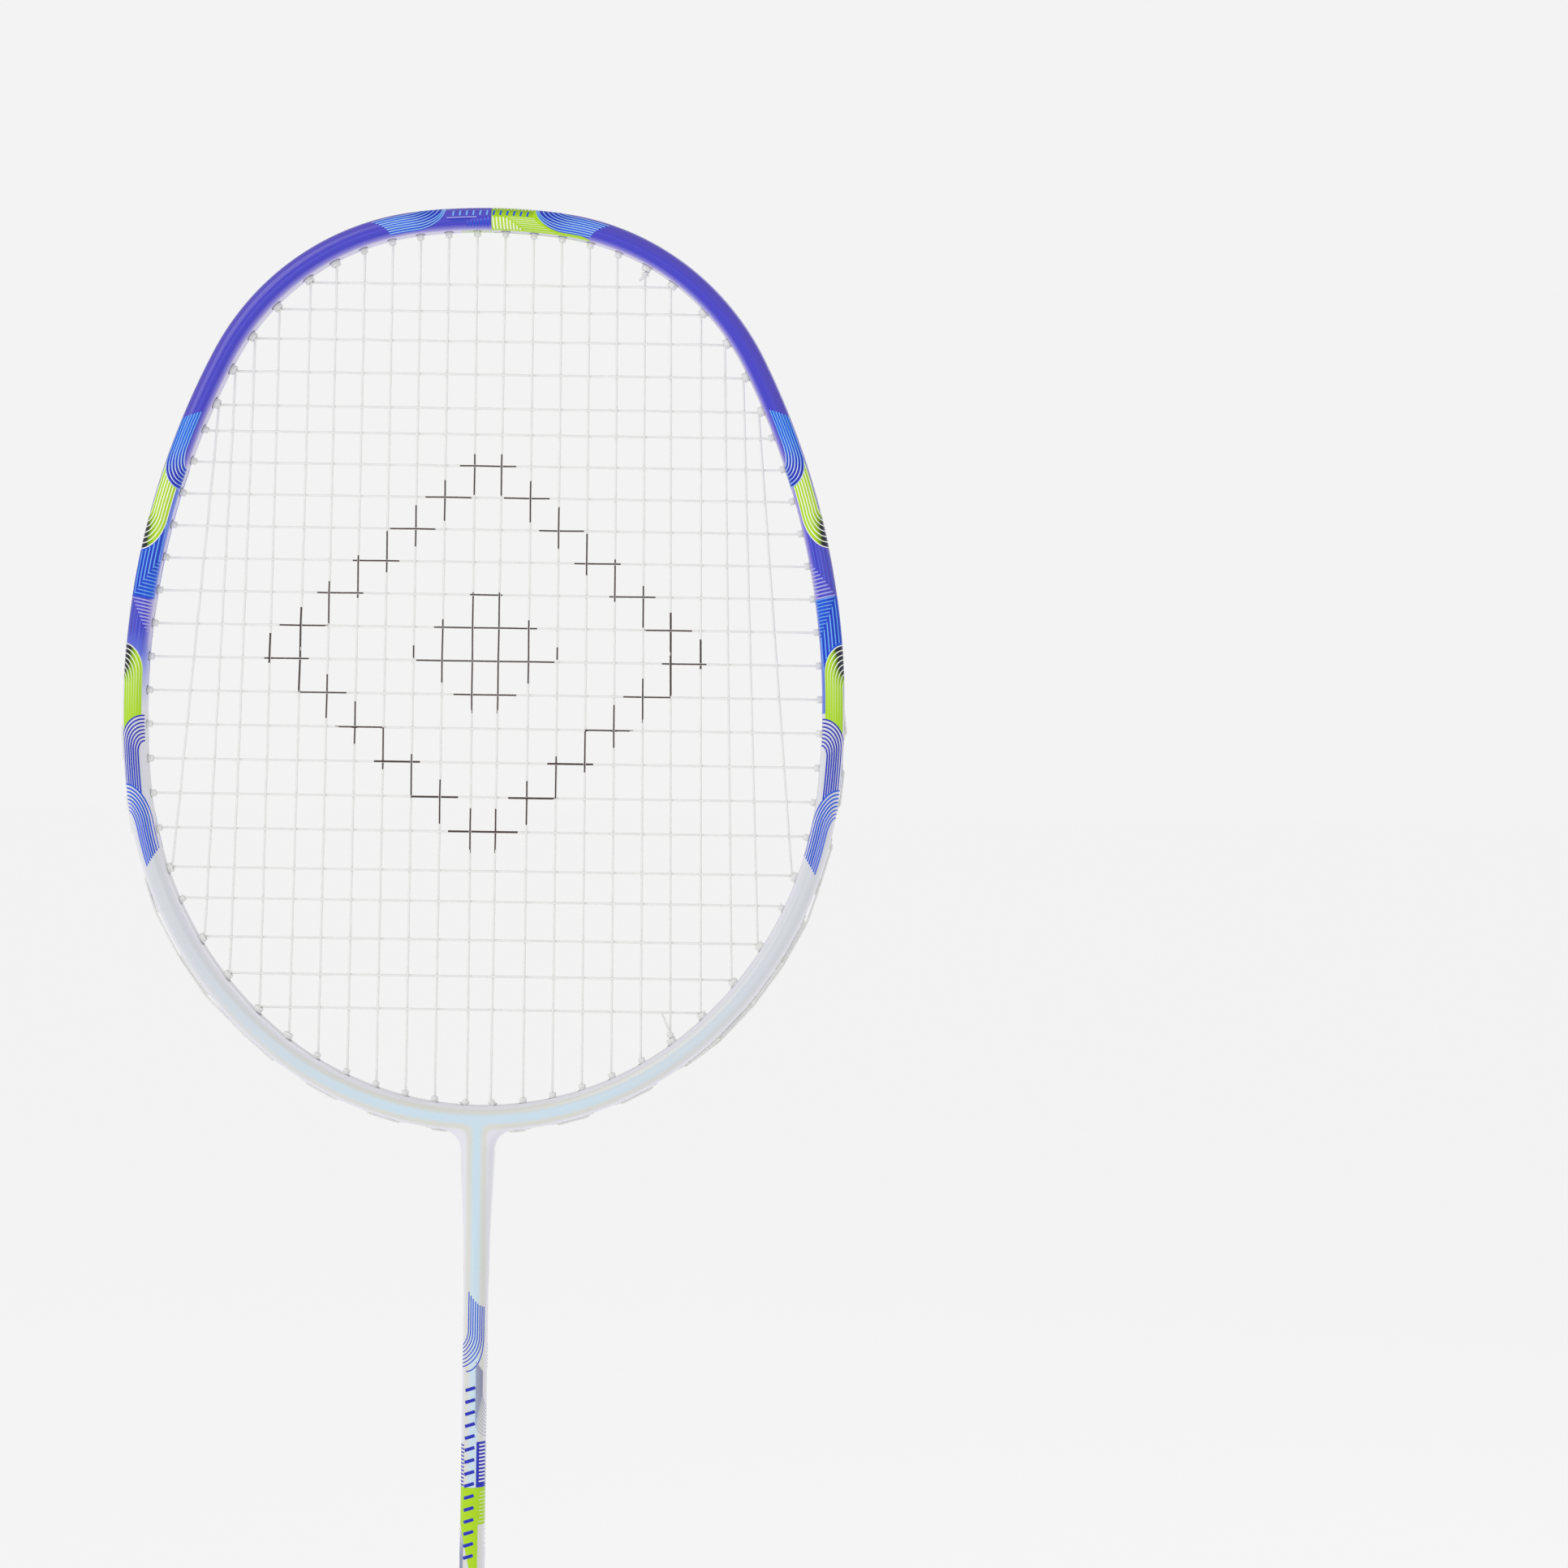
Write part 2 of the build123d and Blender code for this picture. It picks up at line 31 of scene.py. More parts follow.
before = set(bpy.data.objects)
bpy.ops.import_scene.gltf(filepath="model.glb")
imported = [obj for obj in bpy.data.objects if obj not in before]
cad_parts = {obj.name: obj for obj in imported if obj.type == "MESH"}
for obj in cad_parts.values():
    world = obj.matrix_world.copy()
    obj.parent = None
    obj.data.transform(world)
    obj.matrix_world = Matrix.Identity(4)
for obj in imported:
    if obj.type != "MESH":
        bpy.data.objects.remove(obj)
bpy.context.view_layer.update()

# --- Driving dimensions, the same as the CAD model's ---------------------------------------------

crown_z = 675.0
rim_turns = (7.5, 55.5, 33.0, 44.0, 40.0)
outer_radii = (162.0, 75.0, 222.0, 112.0)
rim_band = 6.3
inner_lower_radius = 104.0
rim_depth = 10.4
rim_rounding = 3.0
groove_depth = 1.2
groove_width = 2.6
groove_end_z = 529.9
yoke_half_width = 22.0
rim_reach = rim_band / 2 - rim_rounding + rim_rounding * math.pi / 2 + rim_depth / 2 - rim_rounding
yoke_stripe_z = 416.4
yoke_stripe_radius = 93.4

string_radius = 0.35
main_pitch_top = 8.1
main_pitch_bottom = 8.45
outer_mains_top = (67.8, 73.8, 78.7)
outer_mains_bottom = (71.6, 79.3, 89.0)
even_mains = 8
mains_per_side = 11
cross_count = 23
top_cross_z = 655.0
first_cross_gap = 8.55
cross_gap_growth = 0.09
weave_amplitude = 0.44
weave_bend = 15.0
link_bend = 0.7
lane = 0.42
stacked_lift = 0.75
barrel_stand = 1.5
flange_thickness = 0.3
barrel_radius = 1.0
double_barrel_radius = 1.4
central_hole_slant = 2.6

# --- Meshes --------------------------------------------------------------------------------------


def mesh_object(name, vertices, faces, material, smooth_angle=40, tones=None):
    """A mesh piece of the racket, from places in millimetres."""
    mesh = bpy.data.meshes.new(name)
    mesh.from_pydata([Vector(v) * MM for v in vertices], [], faces)
    shell = bmesh.new()
    shell.from_mesh(mesh)
    bmesh.ops.recalc_face_normals(shell, faces=shell.faces)
    shell.to_mesh(mesh)
    shell.free()
    mesh.shade_smooth()
    mesh.set_sharp_from_angle(angle=math.radians(smooth_angle))
    for attribute, values in (tones or {}).items():
        mesh.attributes.new(attribute, "FLOAT", "POINT").data.foreach_set("value", values)
    mesh.materials.append(material)
    piece = bpy.data.objects.new(name, mesh)
    bpy.context.scene.collection.objects.link(piece)
    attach(piece, "root")
    return piece


def ring_faces(rings, sides, closed=False):
    """Quads between consecutive rings of points, and two end faces if the run isn't closed."""
    faces = []
    for ring in range(rings if closed else rings - 1):
        for side in range(sides):
            a = ring * sides + side
            b = ring * sides + (side + 1) % sides
            c = (b + sides) % (rings * sides)
            d = (a + sides) % (rings * sides)
            faces.append((a, b, c, d))
    if not closed:
        faces.append(tuple(reversed(range(sides))))
        faces.append(tuple(range((rings - 1) * sides, rings * sides)))
    return faces


def limited(value):
    return min(1.0, max(0.0, value))


def spaced(first, pitch, count):
    return [first + pitch * number for number in range(count)]


def steps(start, end, largest):
    """Even steps from start to end, no longer than the largest."""
    count = max(1, math.ceil(abs(end - start) / largest))
    return [start + (end - start) * k / count for k in range(count + 1)]


# --- Materials -----------------------------------------------------------------------------------


def colour(red, green, blue):
    """Linear colour from display values of 0 to 255."""
    shares = [value / 255 for value in (red, green, blue)]
    linear = [s / 12.92 if s <= 0.04045 else ((s + 0.055) / 1.055) ** 2.4 for s in shares]
    return (*linear, 1.0)


def darker(tint, share):
    return tuple(channel * share for channel in tint[:3]) + (1.0,)


class Shader:
    """A procedural material: one Principled shader, and the nodes that feed it."""

    def __init__(self, name, **sockets):
        self.material = bpy.data.materials.new(name)
        self.material.use_nodes = True
        self.tree = self.material.node_tree
        self.principled = self.tree.nodes["Principled BSDF"]
        for socket, value in sockets.items():
            self.principled.inputs[socket.replace("_", " ")].default_value = value

    def node(self, kind, *links, **settings):
        """Adds a node. Each link is (input of the new node, what feeds it)."""
        made = self.tree.nodes.new(kind)
        for setting, value in settings.items():
            setattr(made, setting, value)
        for key, source in links:
            socket = made.inputs[key]
            if isinstance(source, bpy.types.NodeSocket):
                self.tree.links.new(source, socket)
            else:
                socket.default_value = source
        return made

    def feed(self, socket, source):
        self.tree.links.new(source, self.principled.inputs[socket])

    def attribute(self, name):
        return self.node("ShaderNodeAttribute", attribute_name=name).outputs["Fac"]

    def place(self):
        return self.node("ShaderNodeTexCoord").outputs["Object"]

    def ramp(self, factor, stops):
        """Colour ramp through (position, colour) stops."""
        made = self.node("ShaderNodeValToRGB", ("Fac", factor))
        elements = made.color_ramp.elements
        while len(elements) < len(stops):
            elements.new(0.5)
        for element, (position, value) in zip(elements, stops):
            element.position = position
            element.color = value
        return made.outputs["Color"]

    def mask(self, factor, low, high):
        """Black to white as the factor goes from low to high."""
        return self.ramp(factor, ((low, (0, 0, 0, 1)), (high, (1, 1, 1, 1))))

    def mix(self, factor, first, second):
        """Mix of two colours. The node's sockets 0, 6, 7 and 2 are the ones for colours."""
        made = self.node("ShaderNodeMix", (0, factor), (6, first), (7, second), data_type="RGBA")
        return made.outputs[2]

    def noise(self, scale, detail=2.0, stretch=(1, 1, 1)):
        """Noise in object space, scale in waves per metre."""
        mapped = self.node("ShaderNodeMapping", ("Vector", self.place()), ("Scale", stretch))
        made = self.node(
            "ShaderNodeTexNoise", ("Vector", mapped.outputs[0]), ("Scale", scale), ("Detail", detail)
        )
        return made.outputs["Fac"]

    def maths(self, operation, *values):
        links = list(enumerate(values))
        return self.node("ShaderNodeMath", *links, operation=operation).outputs[0]

    def bump(self, height, strength, distance):
        made = self.node(
            "ShaderNodeBump", ("Height", height), ("Strength", strength), ("Distance", distance)
        )
        self.feed("Normal", made.outputs[0])

    def vary_roughness(self, noise, low, high):
        made = self.node(
            "ShaderNodeMapRange", ("Value", noise), ("To Min", low), ("To Max", high)
        )
        self.feed("Roughness", made.outputs[0])


violet = colour(60, 56, 200)
violet_outer = colour(76, 68, 196)
violet_edge = colour(92, 78, 182)
lilac = colour(196, 188, 228)
mid_lilac = colour(140, 132, 222)
sky = colour(120, 140, 238)
# The pearl blue and beige are painted reflection, of bright sky and of darker surroundings.
reflected_pearl_blue = colour(206, 227, 240)
reflected_pearl_beige = colour(222, 222, 215)
pearl_grey = colour(215, 218, 224)
pearl_lilac = colour(232, 231, 240)
white = colour(246, 246, 248)

reflection_stripe_reach = 4.0  # mm from the middle of the stripe to the palest lilac
# Painted reflection across the pearl's rounded section: grey with paler lilac edges when plain,
# and a blue middle with beige flanks and lilac edges on the stripe.
plain_reflection_stops = ((0.0, pearl_grey), (0.42, pearl_grey), (0.75, pearl_lilac), (1.0, pearl_lilac))
reflection_stripe_stops = ((0.0, reflected_pearl_blue), (0.22, reflected_pearl_blue), (0.42, reflected_pearl_beige), (0.60, reflected_pearl_beige),
                (0.78, pearl_lilac), (1.0, pearl_lilac))


def reflection_stripe_share(shader):
    """Distance from the middle of the painted reflection stripe up the shaft and round the head."""
    parts = shader.node("ShaderNodeSeparateXYZ", ("Vector", shader.place())).outputs
    aside = shader.maths("ABSOLUTE", parts["X"])
    up = shader.maths("SUBTRACT", parts["Z"], yoke_stripe_z * MM)
    above = shader.maths("MULTIPLY", shader.maths("MAXIMUM", up, 0.0), 3.0)
    from_neck = shader.maths("ADD", aside, above)
    across = shader.maths("MULTIPLY", parts["X"], parts["X"])
    height = shader.maths("SUBTRACT", parts["Z"], (yoke_stripe_z + yoke_stripe_radius) * MM)
    both = shader.maths("ADD", across, shader.maths("MULTIPLY", height, height))
    reach = shader.maths("SUBTRACT", shader.maths("SQRT", both), yoke_stripe_radius * MM)
    from_ring = shader.maths("ABSOLUTE", reach)
    nearest = shader.maths("SMOOTH_MIN", from_neck, from_ring, 0.004)
    return shader.maths("DIVIDE", nearest, reflection_stripe_reach * MM)


def add_lacquer_surface(shader):
    """Fine unevenness of a sprayed gloss coat."""
    shader.bump(shader.noise(900, detail=3), 0.08, 0.0002)
    shader.vary_roughness(shader.noise(250), 0.20, 0.30)


def lacquer(name, stops):
    """Gloss print whose colour follows the tone of the piece."""
    shader = Shader(name, Specular_IOR_Level=0.3, Coat_Weight=0.2, Coat_Roughness=0.2)
    shader.feed("Base Color", shader.ramp(shader.attribute("tone"), stops))
    add_lacquer_surface(shader)
    return shader.material


def rim_lacquer():
    """Violet at the crown, which fades to pearl below the sides. Its colour across the section is
    painted reflection: a pale lilac inner wall, and paler violet towards the outer wall.

    The pearl is plain grey at first, with lilac edges of painted reflection. Its blue stripe of
    painted reflection, with beige flanks, comes out towards the throat.
    """
    shader = Shader("rim_lacquer", Specular_IOR_Level=0.4, Coat_Weight=0.3, Coat_Roughness=0.16)
    girth = shader.attribute("girth")
    # Painted reflection across the section: lilac inner wall, paler violet towards the outer wall.
    across = shader.ramp(girth, (
        (0.0, lilac), (0.17, lilac), (0.27, mid_lilac), (0.36, violet), (0.50, violet),
        (0.53, violet_outer), (1.0, violet_edge)))
    fade = shader.attribute("fade")
    upper = shader.mix(shader.mask(fade, 0.0, 0.5), across, sky)
    # The pearl's painted reflection, grey with lilac edges, takes a blue stripe towards the throat.
    aside = shader.maths("ABSOLUTE", shader.maths("SUBTRACT", girth, 0.5))
    from_middle = shader.maths("MULTIPLY", aside, 2 * rim_reach / reflection_stripe_reach)
    plain = shader.ramp(from_middle, plain_reflection_stops)
    pearl = shader.mix(shader.attribute("reflection_bloom"), plain, shader.ramp(from_middle, reflection_stripe_stops))
    shader.feed("Base Color", shader.mix(shader.mask(fade, 0.3, 1.0), upper, pearl))
    add_lacquer_surface(shader)
    return shader.material


def pearl_lacquer():
    shader = Shader("pearl_lacquer", Specular_IOR_Level=0.4, Coat_Weight=0.3, Coat_Roughness=0.16)
    # Painted reflection across the shaft and yoke: a blue stripe with beige flanks and lilac edges.
    shader.feed("Base Color", shader.ramp(reflection_stripe_share(shader), reflection_stripe_stops))
    add_lacquer_surface(shader)
    return shader.material


def nylon(name, tint):
    """Translucent nylon, slightly uneven."""
    shader = Shader(
        name, Roughness=0.35, Subsurface_Weight=0.4, Subsurface_Scale=0.001,
        Subsurface_Radius=(1.0, 1.0, 1.0))
    shader.feed("Base Color", shader.mix(shader.noise(400), darker(tint, 0.93), tint))
    shader.bump(shader.noise(2500), 0.1, 0.0001)
    return shader.material


def moulded_plastic(name, tint, roughness, grain=1400, depth=0.0001):
    shader = Shader(name)
    shader.feed("Base Color", shader.mix(shader.noise(60, detail=4), darker(tint, 0.9), tint))
    noise = shader.noise(grain, detail=3)
    shader.bump(noise, 0.25, depth)
    shader.vary_roughness(noise, roughness - 0.06, roughness + 0.08)
    return shader.material


rim_coat = rim_lacquer()
pearl_coat = pearl_lacquer()
string_nylon = nylon("string_nylon", colour(238, 238, 236))
inked_nylon = nylon("inked_nylon", colour(62, 42, 40))
grommet_nylon = nylon("grommet_nylon", colour(243, 244, 240))

# --- Rim outline ---------------------------------------------------------------------------------

arc_limits = [sum(rim_turns[:count]) for count in range(len(rim_turns) + 1)]


def closed_radii(radii):
    """Adds the last arc's radius, which brings half an outline back to the axis."""
    limits = [math.radians(limit) for limit in arc_limits]
    reach = sum(r * (math.sin(b) - math.sin(a)) for r, a, b in zip(radii, limits, limits[1:]))
    return radii + (reach / math.sin(limits[-2]),)


outer_rim = closed_radii(outer_radii)
inner_rim = closed_radii(tuple(r - rim_band for r in outer_radii[:3]) + (inner_lower_radius,))
halvings = 40  # enough to find a turn exactly


def outline_point(crown, radii, turn):
    """(x, z) on the right-hand half of an outline where it has turned by some degrees."""
    x, z = 0.0, crown
    for radius, start, end in zip(radii, arc_limits, arc_limits[1:]):
        if turn > start:
            a, b = math.radians(start), math.radians(min(end, turn))
            x += radius * (math.sin(b) - math.sin(a))
            z -= radius * (math.cos(a) - math.cos(b))
    return x, z


def inner_point(turn):
    return outline_point(crown_z - rim_band, inner_rim, turn)


def outer_point(turn):
    return outline_point(crown_z, outer_rim, turn)


def find_turn(reached, low, high):
    """The turn from low to high degrees at which a condition first holds."""
    for _ in range(halvings):
        middle = (low + high) / 2
        if reached(middle):
            high = middle
        else:
            low = middle
    return high


# Distance along the middle of the rim from the crown, for turns at a small step.
turn_step = 0.25  # degrees
rim_middles = []
for index in range(int(180 / turn_step) + 1):
    inner, outer = inner_point(index * turn_step), outer_point(index * turn_step)
    rim_middles.append(Vector(((inner[0] + outer[0]) / 2, (inner[1] + outer[1]) / 2)))
rim_distances = [0.0]
for before, after in zip(rim_middles, rim_middles[1:]):
    rim_distances.append(rim_distances[-1] + (after - before).length)


def turn_at(distance):
    """Turn at some distance along the rim from the crown."""
    low, high = 0, len(rim_distances) - 1
    while high - low > 1:
        middle = (low + high) // 2
        if rim_distances[middle] <= distance:
            low = middle
        else:
            high = middle
    share = (distance - rim_distances[low]) / (rim_distances[high] - rim_distances[low])
    return (low + share) * turn_step


# The rim ends on the planes where the yoke takes over. Both outlines reach them together.
inner_end_turn = find_turn(lambda turn: inner_point(turn)[0] <= yoke_half_width, 90, 180)
outer_end_turn = find_turn(lambda turn: outer_point(turn)[0] <= yoke_half_width, 90, 180)
rim_end = rim_distances[int(inner_end_turn / turn_step)]
end_blend_turn = arc_limits[-2]


def rim_edges(turn, side):
    """Inner and outer edge of the rim at some turn, on the right (side 1) or left (side -1)."""
    share = max(0.0, (turn - end_blend_turn) / (inner_end_turn - end_blend_turn))
    inner, outer = inner_point(turn), outer_point(turn + share * (outer_end_turn - inner_end_turn))
    return Vector((side * inner[0], 0, inner[1])), Vector((side * outer[0], 0, outer[1]))


quarter_girth = rim_rounding * math.pi / 2


def skin(distance, girth, front=-1, lift=0.0):
    """A place on the rim's skin.

    Distance runs from the crown, positive to the right. Girth runs from the middle of the front
    or back face, positive towards the outer wall. Lift stands the place off the skin.
    """
    side = 1 if distance >= 0 else -1
    inner, outer = rim_edges(turn_at(abs(distance)), side)
    width = (outer - inner).length
    across = (outer - inner) / width
    flat = width / 2 - rim_rounding
    beyond = abs(girth) - flat
    if beyond <= 0:
        tilt, offset, depth = 0.0, abs(girth), rim_depth / 2
    else:
        tilt = min(beyond / rim_rounding, math.pi / 2)
        offset = flat + rim_rounding * math.sin(tilt)
        depth = rim_depth / 2 - rim_rounding * (1 - math.cos(tilt)) - max(0, beyond - quarter_girth)
    offset = math.copysign(offset + lift * math.sin(tilt), girth)
    place = (inner + outer) / 2 + across * offset
    place.y = front * (depth + lift * math.cos(tilt))
    return place


def girth_at(share):
    """Girth of a place seen some share of the way across the face, 0 inner edge, 1 outer edge."""
    flat = rim_band / 2 - rim_rounding
    offset = (share - 0.5) * rim_band
    beyond = abs(offset) - flat
    if beyond <= 0:
        return offset
    if beyond >= rim_rounding:
        return math.copysign(flat + quarter_girth + beyond - rim_rounding, offset)
    return math.copysign(flat + rim_rounding * math.asin(beyond / rim_rounding), offset)


# --- Rim -----------------------------------------------------------------------------------------

rim_step = 1.6
rounding_steps = 10
fade_start = 172.0  # distance along the rim where violet starts to turn into pearl
fade_length = 22.0
# The stripe is the pearl's painted reflection, which shows more and more towards the throat.
bloom_start = 262.0  # distance along the rim where the stripe starts to show
groove_run_out = 1.5


def rim_section(width, groove):
    """Section as (offset from the middle, y, girth as a share), once round from the inner wall."""
    half, wall = width / 2, rim_depth / 2 - rim_rounding
    arc = [math.radians(90 / rounding_steps * k) for k in range(rounding_steps + 1)]
    quarter = [
        (rim_rounding * math.sin(t) + half - rim_rounding, rim_rounding * math.cos(t) + wall)
        for t in arc
    ]
    reach = half - rim_rounding + quarter_girth + wall
    girths = [half - rim_rounding + rim_rounding * t for t in arc]
    front = [(-x, -y, -g) for (x, y), g in zip(reversed(quarter), reversed(girths))]
    front += [(x, -y, g) for (x, y), g in zip(quarter, girths)]
    lip = groove_width / 2
    channel = [(half, -lip, reach), (half - groove, -lip, reach)]
    channel += [(half - groove, lip, reach), (half, lip, reach)]
    back = [(x, -y, g) for x, y, g in reversed(front)]
    inner_wall = [(-half, wall / 2, -reach), (-half, -wall / 2, -reach)]
    points = front + channel + back + inner_wall
    return [(x, y, 0.5 + 0.5 * g / reach) for x, y, g in points]


def make_rim():
    turns = steps(-rim_end, rim_end, rim_step)
    vertices, girths, fades, blooms = [], [], [], []
    for distance in turns:
        side = 1 if distance >= 0 else -1
        turn = inner_end_turn if abs(distance) == rim_end else turn_at(abs(distance))
        inner, outer = rim_edges(turn, side)
        width = (outer - inner).length
        across = (outer - inner) / width
        groove = groove_depth * limited((outer.z - groove_end_z) / groove_run_out)
        for offset, y, girth in rim_section(width, max(groove, 0.001)):
            vertices.append((inner + outer) / 2 + across * offset + Vector((0, y, 0)))
            girths.append(girth)
            fades.append(limited((abs(distance) - fade_start) / fade_length))
            # How much of the pearl's painted reflection stripe shows here.
            blooms.append(limited((abs(distance) - bloom_start) / (rim_end - bloom_start)))
    sides = len(vertices) // len(turns)
    rim = mesh_object(
        "rim", vertices, ring_faces(len(turns), sides), rim_coat,
        tones={"girth": girths, "fade": fades, "reflection_bloom": blooms})
    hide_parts("head_frame")


make_rim()

# --- Printed lines and zones ---------------------------------------------------------------------

line_lift, zone_lift = 0.07, 0.04  # how far the films stand off the skin
under_skin = -0.03
zone_columns = 22
zone_step = 0.35
fine_step = 0.08
line_bend_steps = 24
area_bend_steps = 40
line_width = 0.28
shaft_radius = 3.5

side_print_start = 100.0
right_rise = 3.2  # the side prints on the right sit this much nearer to the crown
right_rise_end = 150.0
right_rise_loss = 0.032  # what the rise loses in each millimetre beyond that


def print_distance(distance):
    """Where a printed place lies, given its distance from the crown on the left-hand side."""
    if distance < side_print_start:
        return distance
    return distance - right_rise + right_rise_loss * max(0.0, distance - right_rise_end)


def rim_places(front):
    """Maps (distance, girth, lift) onto the front or back of the rim."""
    return lambda distance, girth, lift: skin(print_distance(distance), girth, front, lift)


def shaft_places(front):
    """Maps (height, arc, lift) onto the shaft, and round to its back for the other side."""
    def place(height, arc, lift):
        angle, radius = arc / shaft_radius, shaft_radius + lift
        return Vector((-front * radius * math.sin(angle), front * radius * math.cos(angle), height))
    return place


left_side, right_side = (-1,), (1,)


class Print:
    """Thin closed films on the racket's skin that share one colour scheme."""

    def __init__(self, name, stops):
        self.name = name
        self.material = lacquer(name, stops)
        self.vertices, self.faces, self.tones = [], [], []

    def film(self, rows, lift, places):
        """One film. Each row holds (distance, girth, tone) from one side of it to the other."""
        start, count = len(self.vertices), len(rows[0])
        for row in rows:
            loop = [(place, lift) for place in row] + [(place, under_skin) for place in reversed(row)]
            for (distance, girth, tone), height in loop:
                self.vertices.append(places(distance, girth, height))
                self.tones.append(tone)
        for face in ring_faces(len(rows), 2 * count):
            if len(face) == 4:
                self.faces.append(tuple(start + index for index in face))
        for first in (0, (len(rows) - 1) * 2 * count):
            for k in range(count - 1):
                quad = (k, k + 1, 2 * count - 2 - k, 2 * count - 1 - k)
                self.faces.append(tuple(start + first + index for index in quad))

    def ribbon(self, path, width, tone, places):
        """A film of even width along a path of (distance, girth).

        The tone is a number, or a function of the share of the way along the path.
        """
        rows = []
        for index, place in enumerate(path):
            before, after = path[max(index - 1, 0)], path[min(index + 1, len(path) - 1)]
            along = (Vector(after) - Vector(before)).normalized()
            step = Vector((-along.y, along.x)) * width / 2
            value = tone(index / (len(path) - 1)) if callable(tone) else tone
            rows.append([(*(Vector(place) + step), value), (*(Vector(place) - step), value)])
        self.film(rows, line_lift, places)

    def line(self, path, width=line_width, sides=(-1, 1), tone=0.0):
        """A printed line along (distance, share across) places, on both faces of the rim."""
        for side in sides:
            flat = [(side * distance, girth_at(share)) for distance, share in path]
            for front in (-1, 1):
                self.ribbon(flat, width, tone, rim_places(front))

    def zone(self, places, low, high, sides=(-1, 1), tone=lambda distance, share: 0.0):
        """A printed area over a run of distances, between two shares across the face."""
        for side in sides:
            rows = []
            for distance in places:
                start, end = low(distance), max(high(distance), low(distance) + 0.01)
                a, b = girth_at(start), girth_at(end)
                row = []
                for k in range(zone_columns + 1):
                    share = start + (end - start) * k / zone_columns
                    girth = a + (b - a) * k / zone_columns
                    row.append((side * distance, girth, tone(distance, share)))
                rows.append(row)
            for front in (-1, 1):
                self.film(rows, zone_lift, rim_places(front))

    def shaft_line(self, path, width=line_width, tone=0.0):
        """A printed line along (height, arc from the middle) places, on both sides of the shaft."""
        for front in (-1, 1):
            self.ribbon(path, width, tone, shaft_places(front))

    def shaft_zone(self, heights, low, high):
        """A printed area of the shaft, between two arcs from the middle."""
        rows = []
        for height in heights:
            a, b = low(height), high(height)
            arcs = [a + (b - a) * k / zone_columns for k in range(zone_columns + 1)]
            rows.append([(height, arc, 0.0) for arc in arcs])
        for front in (-1, 1):
            self.film(rows, zone_lift, shaft_places(front))

    def finish(self):
        piece = mesh_object(
            self.name, self.vertices, self.faces, self.material, tones={"tone": self.tones})


def bent_line(free_end, bend, edge, share, edge_share):
    """A line that runs lengthwise from its free end, then bends squarely into an edge."""
    straight = [(distance, share) for distance in steps(free_end, bend, 2.5)[:-1]]
    turns = [math.pi / 2 * (1 - (1 - k / line_bend_steps) ** 2) for k in range(line_bend_steps + 1)]
    return straight + [
        (bend + (edge - bend) * math.sin(t), edge_share + (share - edge_share) * math.cos(t))
        for t in turns
    ]


def lengthwise(share, start, end):
    """A path along the rim at one share across the face."""
    return [(distance, share) for distance in steps(start, end, 2)]


def crosswise(distance, low, high, lean=0.0, step=0.08):
    """A path across the face that ends at a distance, and leans away from it below."""
    return [(distance + lean * (high - share), share) for share in steps(low, high, step)]


def ring_path(height, start, end, step=0.3):
    """A path round the shaft at one height."""
    return [(height, arc) for arc in steps(start, end, step)]


class Bend:
    """A quarter ellipse in which the limit of a printed area turns into an edge of the face.

    It runs between two distances. At its end it is at the edge's share across the face, and at
    its start it has risen from that share by the rise.
    """

    def __init__(self, start, end, edge_share, rise):
        self.start, self.end, self.edge_share, self.rise = start, end, edge_share, rise

    def share_at(self, distance):
        along = limited((distance - self.start) / (self.end - self.start))
        return self.edge_share + self.rise * math.sqrt(1 - along * along)

    def distance_at(self, share):
        risen = (share - self.edge_share) / self.rise
        return self.start + (self.end - self.start) * math.sqrt(max(0.0, 1 - risen * risen))

    def steps(self):
        """Rising distances along the bend, which are close together at its end."""
        turns = [math.pi / 2 * k / area_bend_steps for k in range(area_bend_steps + 1)]
        return sorted(self.start + (self.end - self.start) * math.cos(turn) for turn in turns)


navy, deep_blue = colour(14, 16, 112), colour(20, 34, 186)
shade_navy = colour(20, 24, 62)
bright_blue, light_blue = colour(0, 88, 222), colour(120, 184, 248)
blue_lilac = colour(150, 160, 242)
lime, dark_lime, olive = colour(178, 222, 0), colour(134, 180, 0), colour(24, 40, 12)
cream = colour(255, 255, 244)
grey_blue = colour(150, 156, 190)

blue_zone = Print("blue_zones", ((0.0, deep_blue), (0.45, bright_blue), (1.0, blue_lilac)))
# Lime zones turn olive and navy with painted shade near the outer edge at their curved ends.
lime_zone = Print("lime_zones", ((0.0, lime), (0.35, dark_lime), (0.65, olive), (1.0, shade_navy)))
light_line = Print("light_blue_lines", ((0.0, light_blue), (1.0, white)))
cream_line = Print("cream_lines", ((0.0, cream), (0.75, lime), (1.0, dark_lime)))
dark_line = Print("dark_blue_lines", ((0.0, deep_blue), (0.6, bright_blue), (1.0, blue_lilac)))
lilac_line = Print("lilac_lines", ((0.0, blue_lilac), (1.0, lilac)))
grey_line = Print("grey_lines", ((0.0, grey_blue), (1.0, pearl_lilac)))

# Distances below are from the crown, along the rim. Shares across the face are 0 at its inner edge
# and 1 at its outer edge. The lines of a group follow each other in even steps, from the number 0
# on, and a tone picks its colour from the stops of its print.

# Comb of lines each side of the crown: they rise to the outer edge towards the crown.
crown_lines = 8
crown_comb_end = 12.6
crown_free_end = 29
crown_spread = 5.8  # how much further the free end reaches at the outer edge
crown_inner = Bend(21.2, crown_comb_end, 1.03, -0.93)
crown_outer = Bend(24, 19.5, 1.03, -0.15)


